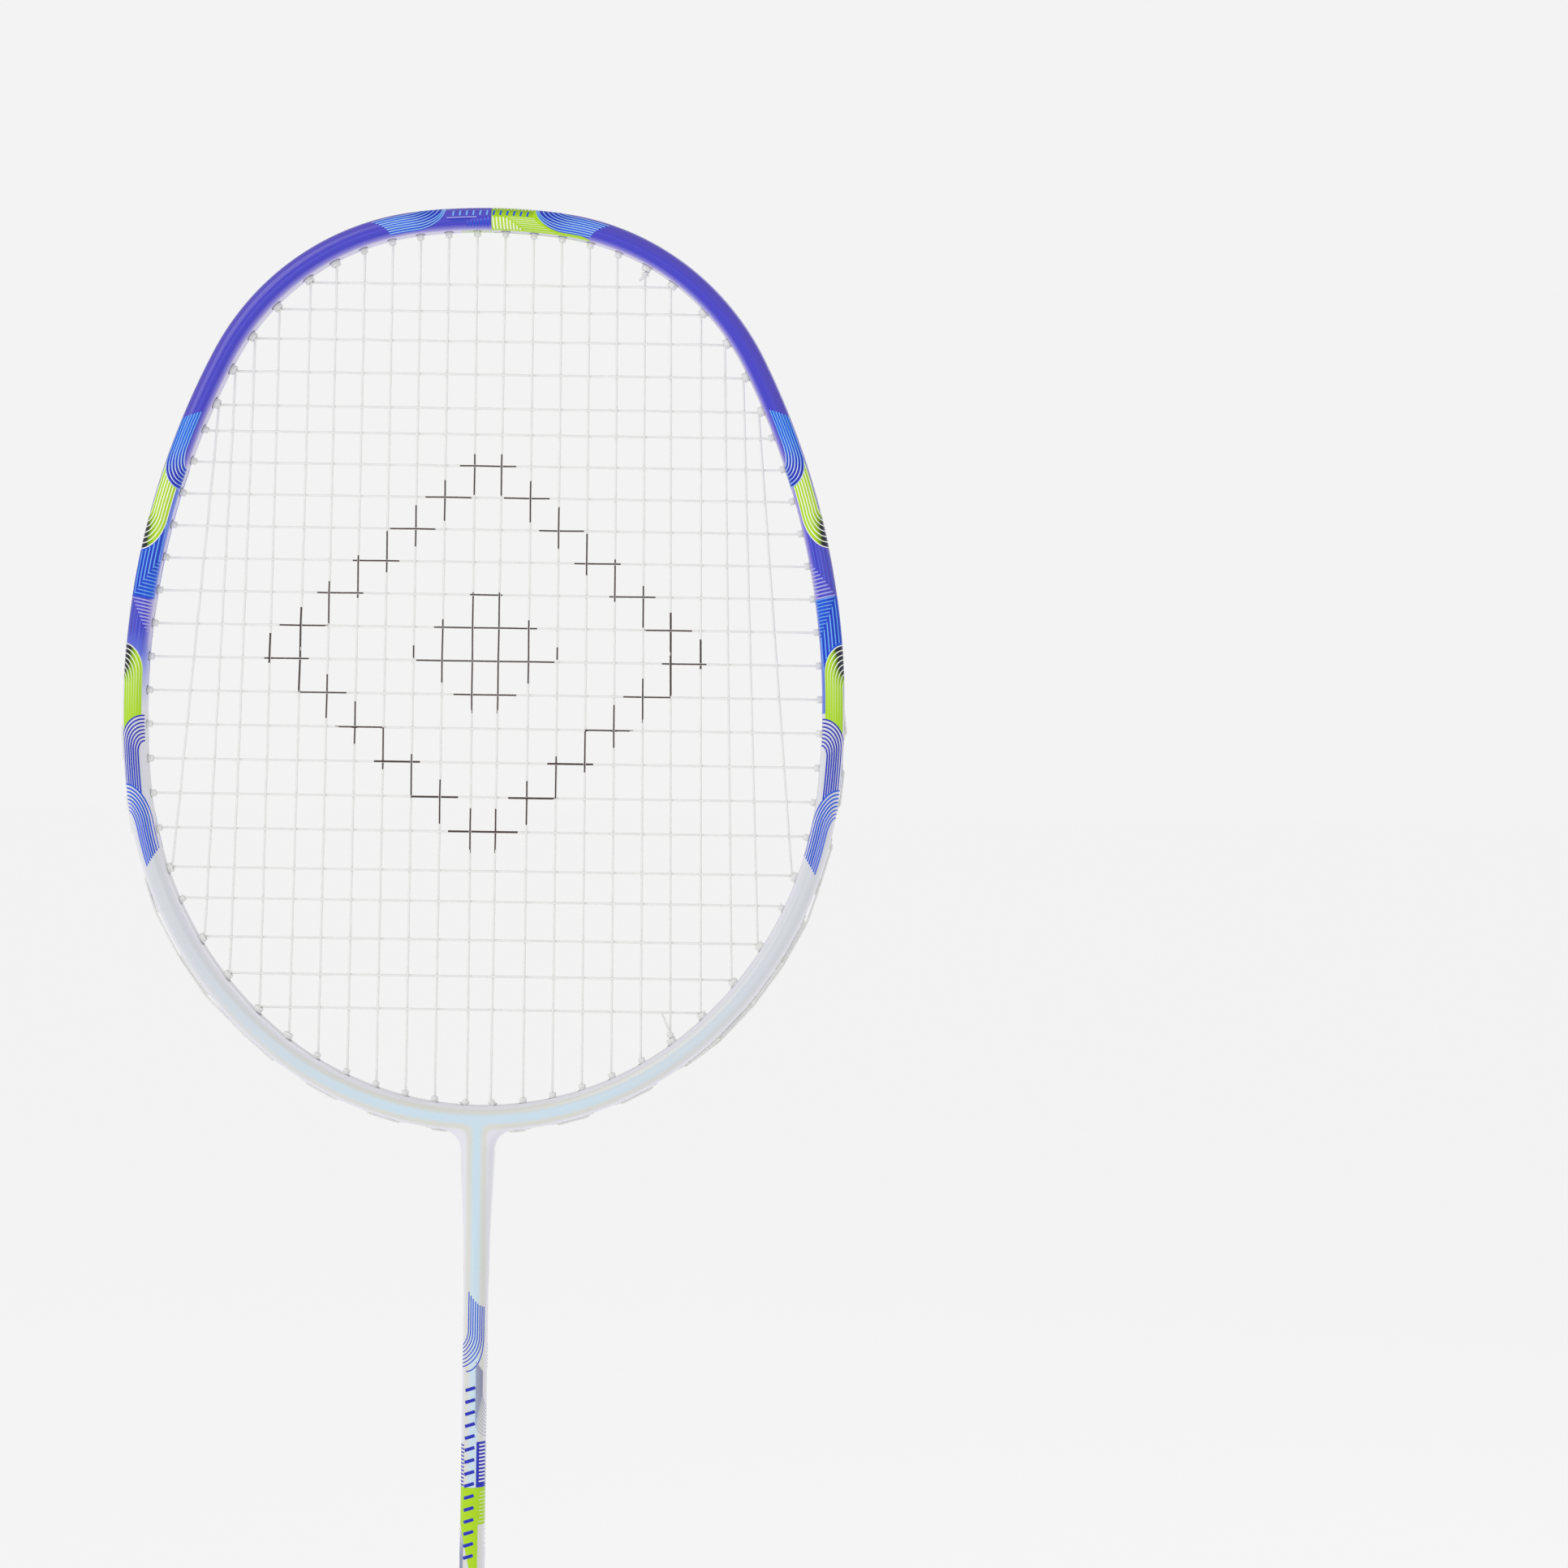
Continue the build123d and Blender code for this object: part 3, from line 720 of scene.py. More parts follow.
def crown_line(number):
    share = 0.86 - 0.1 * number
    edge = max(crown_outer.end - 1.25 * number, crown_comb_end + 0.35 * (crown_lines - 1 - number))
    free_end = crown_free_end + crown_spread * share * share
    return bent_line(free_end, crown_outer.start - 0.4 * number, edge, share, crown_outer.edge_share)


for number in range(crown_lines):
    light_line.line(crown_line(number), tone=lambda share: 0.6 * abs(share - 0.5))


def crown_low(distance):
    """Inner limit of the comb beside the crown."""
    free = math.sqrt(max(0.0, (distance - crown_free_end) / crown_spread))
    return max(free, crown_inner.share_at(distance))


crown_places = crown_inner.steps()[:-1] + steps(crown_inner.start, crown_free_end, zone_step)
blue_zone.zone(
    crown_places + steps(crown_free_end, 30.2, fine_step)[1:] + steps(30.2, 33.2, zone_step)[1:],
    crown_low, crown_outer.share_at,
    tone=lambda distance, share: 0.42 * limited((distance - 15 - 8 * share) / 5))


def lime_crown_high(distance):
    """Outer limit of the lime area right of the crown, which ends in a thin tail."""
    if distance < crown_comb_end:
        return 1.05
    return min(crown_low(distance), 0.3 * limited((30 - distance) / 10) + 1.0 * (distance < 16))


# Lime area right of the crown, with crosswise lines, then lengthwise ones beyond a diagonal.
# Its outer half darkens a little with painted shade beside the crown.
lime_zone.zone(
    steps(0.3, crown_comb_end, zone_step)[:-1] + crown_places,
    lambda distance: -0.03, lime_crown_high, sides=right_side,
    tone=lambda distance, share: 0.3 * limited((share - 0.5) * 4) * (distance < 12))
crosswise_pitch = 0.98
bow_reach = 0.54  # the share across at which the crosswise lines end
bow_end, diagonal_length = 9.8, 5.6
for distance in spaced(0.7, crosswise_pitch, 9):
    high = bow_reach * min(1.0, (bow_end - distance) / diagonal_length)
    bow = crosswise(distance, -0.02, high, lean=0.7)
    cream_line.line(bow, 0.42, sides=right_side, tone=lambda share: 0.2 * share)
for share in spaced(bow_reach, -0.08, 7):
    start = bow_end + 0.6 - diagonal_length * share / bow_reach
    path = lengthwise(share, start, crown_comb_end + 22 * (0.58 - share) ** 2)
    cream_line.line(path, 0.2, sides=right_side, tone=0.4)
for distance in spaced(0.8, crosswise_pitch, 12):
    cream_line.line(crosswise(distance, 0.9, 1.04, step=0.05), 0.4, sides=right_side)

# Left of the crown: faint crosswise lines, a few lengthwise ones, and lime dashes on the inner wall.
for number in range(7):
    bow = crosswise(0.6 + crosswise_pitch * number, 0.12, 0.52 - 0.03 * number, lean=0.5)
    dark_line.line(bow, 0.3, sides=left_side, tone=lambda share: 0.3 + 0.5 * share)
lilac_line.line(lengthwise(0.53, 3.9, 12.4), 0.25, sides=left_side, tone=0.5)
dark_line.line(lengthwise(0.45, 5.6, 12.0), 0.25, sides=left_side)
dark_line.line(lengthwise(0.38, 7.2, 11.2), 0.25, sides=left_side, tone=0.3)
for distance in spaced(0.4, 0.88, 10):
    dash = crosswise(distance, -0.34, 0.0, lean=-0.9, step=0.085)
    cream_line.line(dash, 0.36, sides=left_side, tone=0.6)

# A plain row of slanted dashes across the crown.
dash_count = 12
dash_pitch = 1.9
dash_slant = 1.1
dash_middle = 0.72
dash_reach = 0.11
for number in range(dash_count):
    middle = dash_pitch * (number + 0.5 - dash_count / 2)
    path = [
        (middle + dash_slant * (share - dash_middle), share)
        for share in steps(dash_middle - dash_reach, dash_middle + dash_reach, dash_reach / 2)
    ]
    if middle > 0:
        dark_line.line(path, 0.5, sides=right_side, tone=0.5)
    else:
        path = [(-distance, share) for distance, share in path]
        light_line.line(path, 0.45, sides=left_side)

# Upper side comb: lengthwise blue lines that turn in to the inner edge.
side_start = 111
side_inner = Bend(118, 124.4, -0.04, 0.29)
side_outer = Bend(123, 130.5, -0.04, 0.94)
for number in range(7):
    path = bent_line(
        side_start - 0.57 * number, side_outer.start - 0.83 * number, side_outer.end - 1.02 * number,
        0.9 - 0.108 * number, side_outer.edge_share)
    light_line.line(path, tone=lambda share: limited(0.7 - 2 * abs(share - 0.45)))


def side_high(distance):
    """Outer limit of the upper side comb."""
    if distance < side_start:
        return 0.9 - 0.19 * (side_start - distance)
    return side_outer.share_at(distance)


blue_zone.zone(
    steps(107.7, side_outer.start, zone_step)[:-1] + side_outer.steps(), side_inner.share_at, side_high,
    tone=lambda distance, share: 0.45 * limited((127 - distance) / 8))

# Upper lime area with cream lines that turn out over the outer edge.
upper_bend = Bend(140, 149.6, 1.06, -0.93)
upper_shade_start = 138.5


def upper_lime_low(distance):
    comb = side_high(distance) if distance < side_outer.end else 0.0
    return max(comb, upper_bend.share_at(distance))


def upper_lime_high(distance):
    beyond = max(0.0, distance - upper_shade_start)
    return min(upper_bend.edge_share, 0.92 + 0.14 * beyond / 2)


# It darkens with painted shade towards the outer edge, beyond the start of the shade.
lime_zone.zone(
    side_outer.steps()[4:] + steps(side_outer.end, upper_bend.start, zone_step)[1:-1]
    + upper_bend.steps(), upper_lime_low, upper_lime_high,
    tone=lambda distance, share: (
        limited((distance - upper_shade_start) / 5) * limited((share - 0.42) / 0.4)))
lime_lines = 7
for number in range(lime_lines):
    share = 0.13 + 0.125 * (lime_lines - 1 - number)
    start = side_outer.distance_at(share) + 0.3
    cream_line.line(bent_line(start, 138.2 + 0.3 * number, 140.4 + 1.53 * number, share, 1.05))

# Middle area: on the left it is blue above and violet below, and on the right the reverse.
middle_distance = 163.0
comb_pitch = 1.0
comb_reach, comb_length = 11.8, 13.0  # where the comb's diagonal starts, and how long it is
return_share, return_slope = 0.94, 0.085  # the diagonal back, beyond the middle
crossover = 0.4  # how far beyond the middle the comb turns from blue to lilac
lower_bend = Bend(184, 176.3, 1.05, -0.91)


def area_high(distance):
    """Outer limit of the middle area."""
    if distance < upper_bend.end:
        return upper_bend.share_at(distance)
    if distance > lower_bend.end:
        return lower_bend.share_at(distance)
    return upper_bend.edge_share


upper_places = steps(131, upper_bend.start, zone_step)[:-1] + upper_bend.steps()
upper_places += steps(upper_bend.end, middle_distance, zone_step)[1:]
lower_places = steps(middle_distance, lower_bend.end, zone_step)[:-1] + lower_bend.steps()
lower_places += steps(lower_bend.start, 195, zone_step)[1:]
for side, way, places, near, far in (
        (-1, 1, upper_places, upper_bend, lower_bend), (1, -1, lower_places, lower_bend, upper_bend)):
    blue_zone.zone(
        places, lambda distance: -0.06, area_high, sides=(side,),
        tone=lambda distance, share: 0.42 + 0.58 * limited((0.22 - share) / 0.3))
    for number in range(6):
        low_share = 0.08 + 0.155 * number
        for printed, share in ((light_line, low_share), (dark_line, low_share + 0.07)):
            end = middle_distance + way * (comb_length * share - comb_reach)
            start = near.distance_at(share) + way * 0.7
            if (end - start) * way > 1:
                printed.line(lengthwise(share, start, end), sides=(side,))
    for share in spaced(0.26, 0.15, 5):
        start = middle_distance + way * ((return_share - share) / return_slope + 0.6)
        end = far.distance_at(share) - way * 0.5
        if (end - start) * way > 1:
            dark_line.line(lengthwise(share, start, end), 0.2, sides=(side,), tone=0.72)
    for beyond in spaced(-10.6, comb_pitch, 22):
        before = beyond < crossover
        high = (beyond + comb_reach) / comb_length if before else return_share - return_slope * beyond
        path = crosswise(middle_distance + way * beyond, -0.04, high, lean=0.5, step=0.09)
        if before:
            dark_line.line(path, 0.3, sides=(side,), tone=lambda share: 0.7 * (1 - share))
            above = [(distance - 0.5 * comb_pitch, share) for distance, share in path]
            light_line.line(above, 0.22, sides=(side,))
        else:
            lilac_line.line(path, 0.4, sides=(side,), tone=lambda share: 1 - share)

# Lower lime area with cream lines that come in over the outer edge.
first_nest = Bend(204, 196.6, 0.0, 1.0)


def lower_lime_low(distance):
    nest = 1.02 * first_nest.share_at(distance) if distance > first_nest.end else 0.0
    return max(lower_bend.share_at(distance), nest)


def lower_lime_high(distance):
    return min(upper_bend.edge_share, 0.93 + 0.13 * max(0.0, 188 - distance) / 3)


# It darkens with painted shade towards the outer edge, at its upper end.
lime_zone.zone(
    lower_bend.steps() + steps(lower_bend.start, first_nest.end, zone_step)[1:-1]
    + first_nest.steps()[:28], lower_lime_low, lower_lime_high,
    tone=lambda distance, share: limited((187.5 - distance) / 5) * limited((share - 0.38) / 0.4))
for number in range(8):
    share = 0.15 + 0.108 * number
    end = first_nest.distance_at(share) - 0.3
    path = bent_line(end, lower_bend.start + 0.7 * number, 176.4 + 1.3 * number, share, 1.05)
    cream_line.line(path, tone=lambda share: limited(0.7 - 1.4 * share))

# Two nests of dark blue lines: the first from the inner edge, the second from the outer edge.
second_nest = Bend(226.6, 215.9, 1.0, -1.0)
nest_pitch = 1.04
nest_width = 0.41
for number in range(8):
    share = 1.0 - 0.1 * number
    path = bent_line(
        second_nest.distance_at(share) - 0.2,
        first_nest.start + 0.45 * number, first_nest.end + nest_pitch * number, share, 0.02)
    dark_line.line(path, nest_width, tone=lambda share: limited(0.2 - share))
    share = 0.02 + 0.097 * number
    path = bent_line(
        235.5 + 5.5 * share, second_nest.start + 0.3 * number, second_nest.end + nest_pitch * number,
        share, second_nest.edge_share)
    dark_line.line(path, nest_width, tone=lambda share: 0.45 + 0.2 * share if number < 5 else 0.7)

# Shaft: a comb that turns to the left, fine grey lines that turn to the right, a blue comb block,
# and a lime block with a tail. A column of plain slanted bars runs between them.
shaft_comb = 8
comb_step = 1.03
for number in range(shaft_comb):
    arc = -1.76 + 0.66 * number
    top = 367.3 - 1.1 * number + 0.07 * number * number
    edge_arc = -5.2 if number < shaft_comb - 1 else -2.4
    bend = bent_line(top, 356.6 - 0.35 * number, 351.9 - comb_step * number, arc, edge_arc)
    dark_line.shaft_line(bend, tone=lambda share: 0.5 - 0.5 * share)
for number in range(10):
    arc = 0.7 + 0.22 * number
    below = 0.95 * (9 - number)
    path = bent_line(347.5 - 0.3 * number, 339.0 - below, 334.7 - below, arc, 5.2)
    grey_line.shaft_line(path, 0.14, tone=lambda share: 0.4 * share)
block_top, block_bottom, lime_bottom, tail_bottom = 324.8, 311.9, 301.3, 282.0
dark_zone = Print("dark_blue_zones", ((0.0, deep_blue), (1.0, navy)))
dark_zone.shaft_zone(steps(block_bottom, block_top, 2), lambda z: 1.1, lambda z: 4.6)
for height in spaced(block_bottom + 1.7, comb_step, 11):
    light_line.shaft_line(ring_path(height, 1.9, 4.55), 0.42, tone=1.0)
for height in spaced(block_bottom + 0.4, comb_step, 12):
    dark_line.shaft_line(ring_path(height, -5.3, -2.8, 0.2), 0.4)
lime_zone.shaft_zone(steps(lime_bottom, block_bottom - 0.1, 2), lambda z: -5.3, lambda z: 4.7)
lime_zone.shaft_zone(
    steps(tail_bottom, lime_bottom, 1),
    lambda z: -5.0 + 5.6 * limited((lime_bottom - z) / 19) ** 0.6, lambda z: 1.75)
for number in range(9):
    height = lime_bottom + 0.9 + comb_step * number
    cream_line.shaft_line(ring_path(height, 1.9 + 0.2 * (number % 3), 4.6), 0.3, tone=0.4)
for number in range(6):
    arc = -4.7 + 0.38 * number
    path = bent_line(282 + 0.2 * number, 290 + 1.1 * number, 293 + 1.3 * number, arc, -5.4)
    grey_line.shaft_line(path, 0.2)
bar_count, bar_pitch, bar_width = 15, 3.4, 0.9
bars_bottom, bar_slant = 292.5, 0.35
for height in spaced(bars_bottom, bar_pitch, bar_count):
    bar = [(height + bar_slant * arc, arc) for arc in steps(-2.5, 0.5, 0.25)]
    dark_line.shaft_line(bar, bar_width)

for prints in (
        blue_zone, lime_zone, dark_zone, light_line, cream_line, dark_line, lilac_line, grey_line):
    prints.finish()

# --- Holes, as in the CAD model ------------------------------------------------------------------


class Hole:
    """A drilled hole through the rim. A double one takes two strings."""

    def __init__(self, inner, outer, double):
        self.inner, self.outer, self.double = inner, outer, double


def rim_hole(turn, double=False, slant=0.0):
    inner, outer = inner_point(turn), outer_point(turn - slant)
    return Hole(Vector((inner[0], 0, inner[1])), Vector((outer[0], 0, outer[1])), double)


def turn_at_x(x, lower):
    """Turn at which the inner outline is x from the axis, above or below its widest point."""
    if lower:
        return find_turn(lambda turn: inner_point(turn)[0] <= x, 90, 180)
    return find_turn(lambda turn: inner_point(turn)[0] >= x, 0, 90)


def turn_at_z(z):
    return find_turn(lambda turn: inner_point(turn)[1] <= z, 0, 180)


main_top_x = [main_pitch_top * (i + 0.5) for i in range(even_mains)] + list(outer_mains_top)
main_bottom_x = [main_pitch_bottom * (i + 0.5) for i in range(even_mains)] + list(outer_mains_bottom)
cross_z = [
    top_cross_z - first_cross_gap * k - cross_gap_growth * k * (k - 1) / 2
    for k in range(cross_count)
]
shared_top = {6: 0, 7: 1, 8: 2, 9: 3, 10: 4}
shared_bottom = {7: 22, 8: 21, 9: 20, 10: 18}
tie_off_top = 5
tie_off_bottom = 6

top_holes = []
for number, x in enumerate(main_top_x):
    turn = turn_at_x(x, lower=False)
    if number in shared_top:
        turn = (turn + turn_at_z(cross_z[shared_top[number]])) / 2
    top_holes.append(rim_hole(turn, number in shared_top or number == tie_off_top))

bottom_holes = []
for number, x in enumerate(main_bottom_x):
    turn = turn_at_x(x, lower=True)
    if number in shared_bottom:
        turn = (turn + turn_at_z(cross_z[shared_bottom[number]])) / 2
    slant = central_hole_slant if number == 0 else 0.0
    double = number in shared_bottom or number == tie_off_bottom
    bottom_holes.append(rim_hole(turn, double, slant))

side_holes = {number: rim_hole(turn_at_z(z)) for number, z in enumerate(cross_z)}
side_holes.update({cross: top_holes[main] for main, cross in shared_top.items()})
side_holes.update({cross: bottom_holes[main] for main, cross in shared_bottom.items()})


def mirrored(hole):
    flip = Matrix.Diagonal((-1, 1, 1))
    return Hole(flip @ hole.inner, flip @ hole.outer, hole.double)


def outward(hole):
    return (hole.outer - hole.inner).normalized()


def in_groove(hole):
    return hole.outer.z > groove_end_z


single_crosses = [
    side_holes[k] for k in side_holes
    if k not in shared_top.values() and k not in shared_bottom.values()
]
right_holes = top_holes + bottom_holes + single_crosses
all_holes = right_holes + [mirrored(hole) for hole in right_holes]

# --- Hole edges: painted shadow round the barrels ------------------------------------------------

edge_width = 0.42
edge_height, edge_root = 0.05, 0.05
edge_sides = 28


def make_hole_edge_shadows(name, holes, tint):
    """Dark rings round the barrels: the bare lip of the drilled paint, and painted shadow."""
    vertices, faces = [], []
    for hole in holes:
        axis = outward(hole)
        aside = axis.cross(Vector((0, 1, 0)))
        inner_radius = double_barrel_radius if hole.double else barrel_radius
        rim_radius = inner_radius + edge_width
        section = ((inner_radius, edge_root), (inner_radius, -edge_height),
                   (rim_radius, -0.4 * edge_height), (rim_radius, edge_root))
        start = len(vertices)
        for k in range(edge_sides):
            angle = 2 * math.pi * k / edge_sides
            spoke = aside * math.cos(angle) + Vector((0, 1, 0)) * math.sin(angle)
            for radius, height in section:
                vertices.append(hole.inner + spoke * radius + axis * height)
        faces += [
            tuple(start + index for index in face)
            for face in ring_faces(edge_sides, len(section), closed=True)
        ]
    shader = Shader(name, Roughness=0.5)
    shader.feed("Base Color", shader.mix(shader.noise(1500), darker(tint, 0.6), tint))
    piece = mesh_object(name, vertices, faces, shader.material)


# Dark violet rings on the violet part, pale grey ones on the pearl: bare lip and painted shadow.
pearl_zone_z = 530.0
make_hole_edge_shadows(
    "hole_edge_shadows_violet", [h for h in all_holes if h.inner.z > pearl_zone_z], colour(66, 50, 130))
make_hole_edge_shadows(
    "hole_edge_shadows_pearl", [h for h in all_holes if h.inner.z <= pearl_zone_z], colour(196, 196, 200))

# --- Strings -------------------------------------------------------------------------------------


def mouth(hole, shift=0.0):
    """Where a string leaves a barrel, inside the rim."""
    return hole.inner - outward(hole) * barrel_stand + Vector((0, shift, 0))


def corner(hole, shift=0.0, lift=0.0):
    """Where a string that leaves a barrel outside the rim turns along the rim."""
    floor = -groove_depth if in_groove(hole) else 0
    height = floor + flange_thickness + string_radius + lift
    return hole.outer + outward(hole) * height + Vector((0, shift, 0))


class Run:
    """One main or cross, between the holes that it passes through."""

    def __init__(self, start_hole, end_hole, start_shift, end_shift):
        self.start_hole, self.end_hole = start_hole, end_hole
        self.start_shift, self.end_shift = start_shift, end_shift


def main_run(number):
    """Main number 0 to 21 from the left: its holes in the order in which the string goes."""
    side = number - mains_per_side if number >= mains_per_side else mains_per_side - 1 - number
    top, bottom = top_holes[side], bottom_holes[side]
    if number < mains_per_side:
        top, bottom = mirrored(top), mirrored(bottom)
    shifts = [-lane if hole.double else 0 for hole in (bottom, top)]
    if number % 2 == 0:
        return Run(bottom, top, *shifts)
    return Run(top, bottom, *reversed(shifts))


def cross_run(number):
    """Cross number 0 to 22 from the top. Even ones go to the right, odd ones to the left."""
    right = side_holes[number]
    shift = lane if right.double else 0
    if number % 2 == 0:
        return Run(mirrored(right), right, shift, shift)
    return Run(right, mirrored(right), shift, shift)


main_runs = [main_run(number) for number in range(2 * mains_per_side)]
cross_runs = [cross_run(number) for number in range(cross_count)]
main_end_room, cross_end_room = 0.8, 1.5  # no crossing is nearer than this to the mouth of a hole


def crossing(main, cross):
    """Place in the XZ plane where a main and a cross meet, or None where they don't."""
    low, high = sorted((mouth(main.start_hole), mouth(main.end_hole)), key=lambda p: p.z)
    level = mouth(cross.start_hole).z
    reach = abs(mouth(cross.start_hole).x)
    share = (level - low.z) / (high.z - low.z)
    x = low.x + share * (high.x - low.x)
    between = low.z + main_end_room < level < high.z - main_end_room
    return Vector((x, 0, level)) if between and abs(x) < reach - cross_end_room else None


def woven_points(run, number, places, first_side):
    """Route of one run as (point, largest bend), from its first mouth to its last mouth.

    The places are where it meets each run of the other kind, or None where it doesn't.
    """
    start = mouth(run.start_hole, run.start_shift)
    end = mouth(run.end_hole, run.end_shift)
    points = []
    for k, place in enumerate(places):
        if place:
            side = -first_side if (number + k) % 2 else first_side
            points.append((place + Vector((0, side * weave_amplitude, 0)), weave_bend))
    points.sort(key=lambda point: (point[0].xz - start.xz).length)
    return [(start, link_bend)] + points + [(end, link_bend)]


def main_points(number):
    run = main_runs[number]
    return woven_points(run, number, [crossing(run, cross) for cross in cross_runs], 1)


def cross_points(number):
    run = cross_runs[number]
    return woven_points(run, number, [crossing(main, run) for main in main_runs], -1)


def linked_route(runs, woven, first_points, last_points):
    """The whole route of a string: its runs, and the links between them outside the rim."""
    route = list(first_points)
    for index, run in enumerate(runs):
        if index > 0:
            route.append((corner(run.start_hole, run.start_shift), link_bend))
        route += woven[index]
        if index < len(runs) - 1:
            route.append((corner(run.end_hole, run.end_shift), link_bend))
    return route + list(last_points)


def over(hole):
    """A point of a run that passes above a grommet and the links that leave it."""
    return (corner(hole, 0, stacked_lift), weave_bend)


lowest_cross = 19
last_main_hole = bottom_holes[mains_per_side - 1]
passed_holes = [side_holes[lowest_cross], bottom_holes[9], bottom_holes[8]]
left_turn = corner(mirrored(last_main_hole), -lane)
left_over = [over(mirrored(hole)) for hole in passed_holes]
meeting = (left_turn + left_over[0][0]) / 2
knot_bottom_hole = bottom_holes[tie_off_bottom]
knot_top_hole = top_holes[tie_off_top]

main_route = linked_route(
    main_runs,
    [main_points(number) for number in range(2 * mains_per_side)],
    [(meeting, 0), (left_turn, link_bend)],
    [(corner(last_main_hole, -lane), link_bend)]
    + [over(hole) for hole in passed_holes + [bottom_holes[7]]]
    + [(corner(knot_bottom_hole, lane), link_bend), (mouth(knot_bottom_hole, lane), 0)],
)
cross_order = list(reversed(range(cross_count)))
cross_route = linked_route(
    [cross_runs[number] for number in cross_order],
    [cross_points(number) for number in cross_order],
    [(meeting, 0)] + left_over + [(corner(cross_runs[22].start_hole, lane), link_bend)],
    [
        (corner(cross_runs[0].end_hole, lane), link_bend),
        (corner(knot_top_hole, lane), link_bend),
        (mouth(knot_top_hole, lane), 0),
    ],
)


def rounded(route):
    """Centre line through a route, with each corner rounded off by a parabola."""
    places = [place for place, _ in route]
    line = [places[0]]
    for a, (b, largest), c in zip(places, route[1:], places[2:]):
        before, after = (a - b), (c - b)
        half_turn = (math.pi - before.angle(after)) / 2
        cut = min(largest * math.tan(half_turn), 0.45 * min(before.length, after.length))
        start, end = b + before.normalized() * cut, b + after.normalized() * cut
        for t in (0.0, 0.25, 0.5, 0.75, 1.0):
            line.append(start * (1 - t) ** 2 + b * 2 * t * (1 - t) + end * t * t)
    return line + [places[-1]]


def tube(line, radius, sides=10):
    """Vertices and faces of a round tube along a centre line."""
    tangents = []
    for index in range(len(line)):
        before, after = line[max(index - 1, 0)], line[min(index + 1, len(line) - 1)]
        tangents.append((after - before).normalized())
    aside = tangents[0].orthogonal().normalized()
    vertices = []
    for place, tangent in zip(line, tangents):
        aside = (aside - tangent * aside.dot(tangent)).normalized()
        up = tangent.cross(aside)
        for k in range(sides):
            angle = 2 * math.pi * k / sides
            vertices.append(place + (aside * math.cos(angle) + up * math.sin(angle)) * radius)
    return vertices, ring_faces(len(line), sides)


# Ink rubbed on the string bed through a plain stencil: a diamond in a diamond-shaped ring.
ink_middle_z = 549.0
ink_reach = (66.0, 60.0)
ink_ring_share = 0.80
ink_core_share = 0.34
ink_step = 1.0
ink_margin = 5.0  # how far beyond the stencil the strings have the finer steps too
ink_slope = 0.6  # least share of a face's direction that looks to the front or the back
shortest_step = 0.02


def is_inked(place):
    spread = abs(place.x) / ink_reach[0] + abs(place.z - ink_middle_z) / ink_reach[1]
    return ink_ring_share < spread < 1 or spread < ink_core_share


def make_string(name, route):
    line = []
    for place in rounded(route):
        if line and (place - line[-1]).length < shortest_step:
            continue
        reach = (abs(place.x) - ink_reach[0], abs(place.z - ink_middle_z) - ink_reach[1])
        if line and max(reach) < ink_margin:
            gap = place - line[-1]
            count = math.ceil(gap.length / ink_step)
            line += [line[-1] + gap * k / count for k in range(1, count)]
        line.append(place)
    vertices, faces = tube(line, string_radius)
    piece = mesh_object(name, vertices, faces, string_nylon)
    piece.data.materials.append(inked_nylon)
    for polygon in piece.data.polygons:
        looks_out = abs(polygon.normal.y) > ink_slope
        polygon.material_index = int(looks_out and is_inked(polygon.center / MM))
    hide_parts(name)


make_string("main_string", main_route)
make_string("cross_string", cross_route)

# --- CAD pieces that keep their shape ------------------------------------------------------------


def dress(material, *nodes):
    for name in nodes:
        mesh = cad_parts[name].data
        for index in range(len(mesh.materials)):
            mesh.materials[index] = material


dress(pearl_coat, "throat_yoke", "shaft")
dress(grommet_nylon, *[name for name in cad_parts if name.startswith("grommets")])
dress(string_nylon, "knot_top", "knot_bottom")
dress(moulded_plastic("cone_plastic", colour(240, 240, 244), 0.3, depth=0.00005), "cone")
dress(moulded_plastic("cap_plastic", colour(58, 58, 92), 0.45), "butt_cap")
dress(moulded_plastic("badge_plastic", colour(94, 88, 206), 0.25, depth=0.00003), "butt_badge")


def grained_material(name, light, dark, roughness, metallic, stretch):
    """Wood or metal, with noise that the stretch draws out along one direction."""
    shader = Shader(name, Metallic=metallic)
    grain = shader.noise(160, detail=5, stretch=stretch)
    shader.feed("Base Color", shader.ramp(grain, ((0.35, dark), (0.65, light))))
    shader.bump(grain, 0.2, 0.0001)
    shader.vary_roughness(grain, roughness - 0.08, roughness + 0.08)
    return shader.material


for node, name, light, dark, roughness, metallic, stretch in (
        ("handle_core", "core_wood", (222, 192, 148), (178, 140, 96), 0.6, 0, (6, 6, 0.3)),
        ("t_joint", "cast_alloy", (190, 192, 196), (150, 152, 158), 0.45, 1, (1, 1, 1)),
        ("butt_staples", "staple_steel", (196, 197, 200), (150, 151, 155), 0.3, 1, (8, 8, 1))):
    dress(grained_material(name, colour(*light), colour(*dark), roughness, metallic, stretch), node)

# --- Grip: a tape wound round the octagonal handle -----------------------------------------------

bevel_share = 0.286
grip_thickness = 1.6
core_top_z, cone_top_z = 166.0, 212.0
core_size = (21.0, 24.0)
cone_top_diameter = 9.6
grip_bottom_z, cap_top_z, grip_top_z = 5.0, 16.0, 176.0
cap_flare = (25.4, 28.4)
wrap_pitch = 24.0
overlap_width = 4.0
overlap_height = 0.3
seam_depth = 0.55
seam_width = 2.2
corner_points = 12
corner_softenings = 3
overlap_slope = 1.2
grip_step = 0.8
grip_inside = 0.2  # how far outside the handle the tape's inner face lies


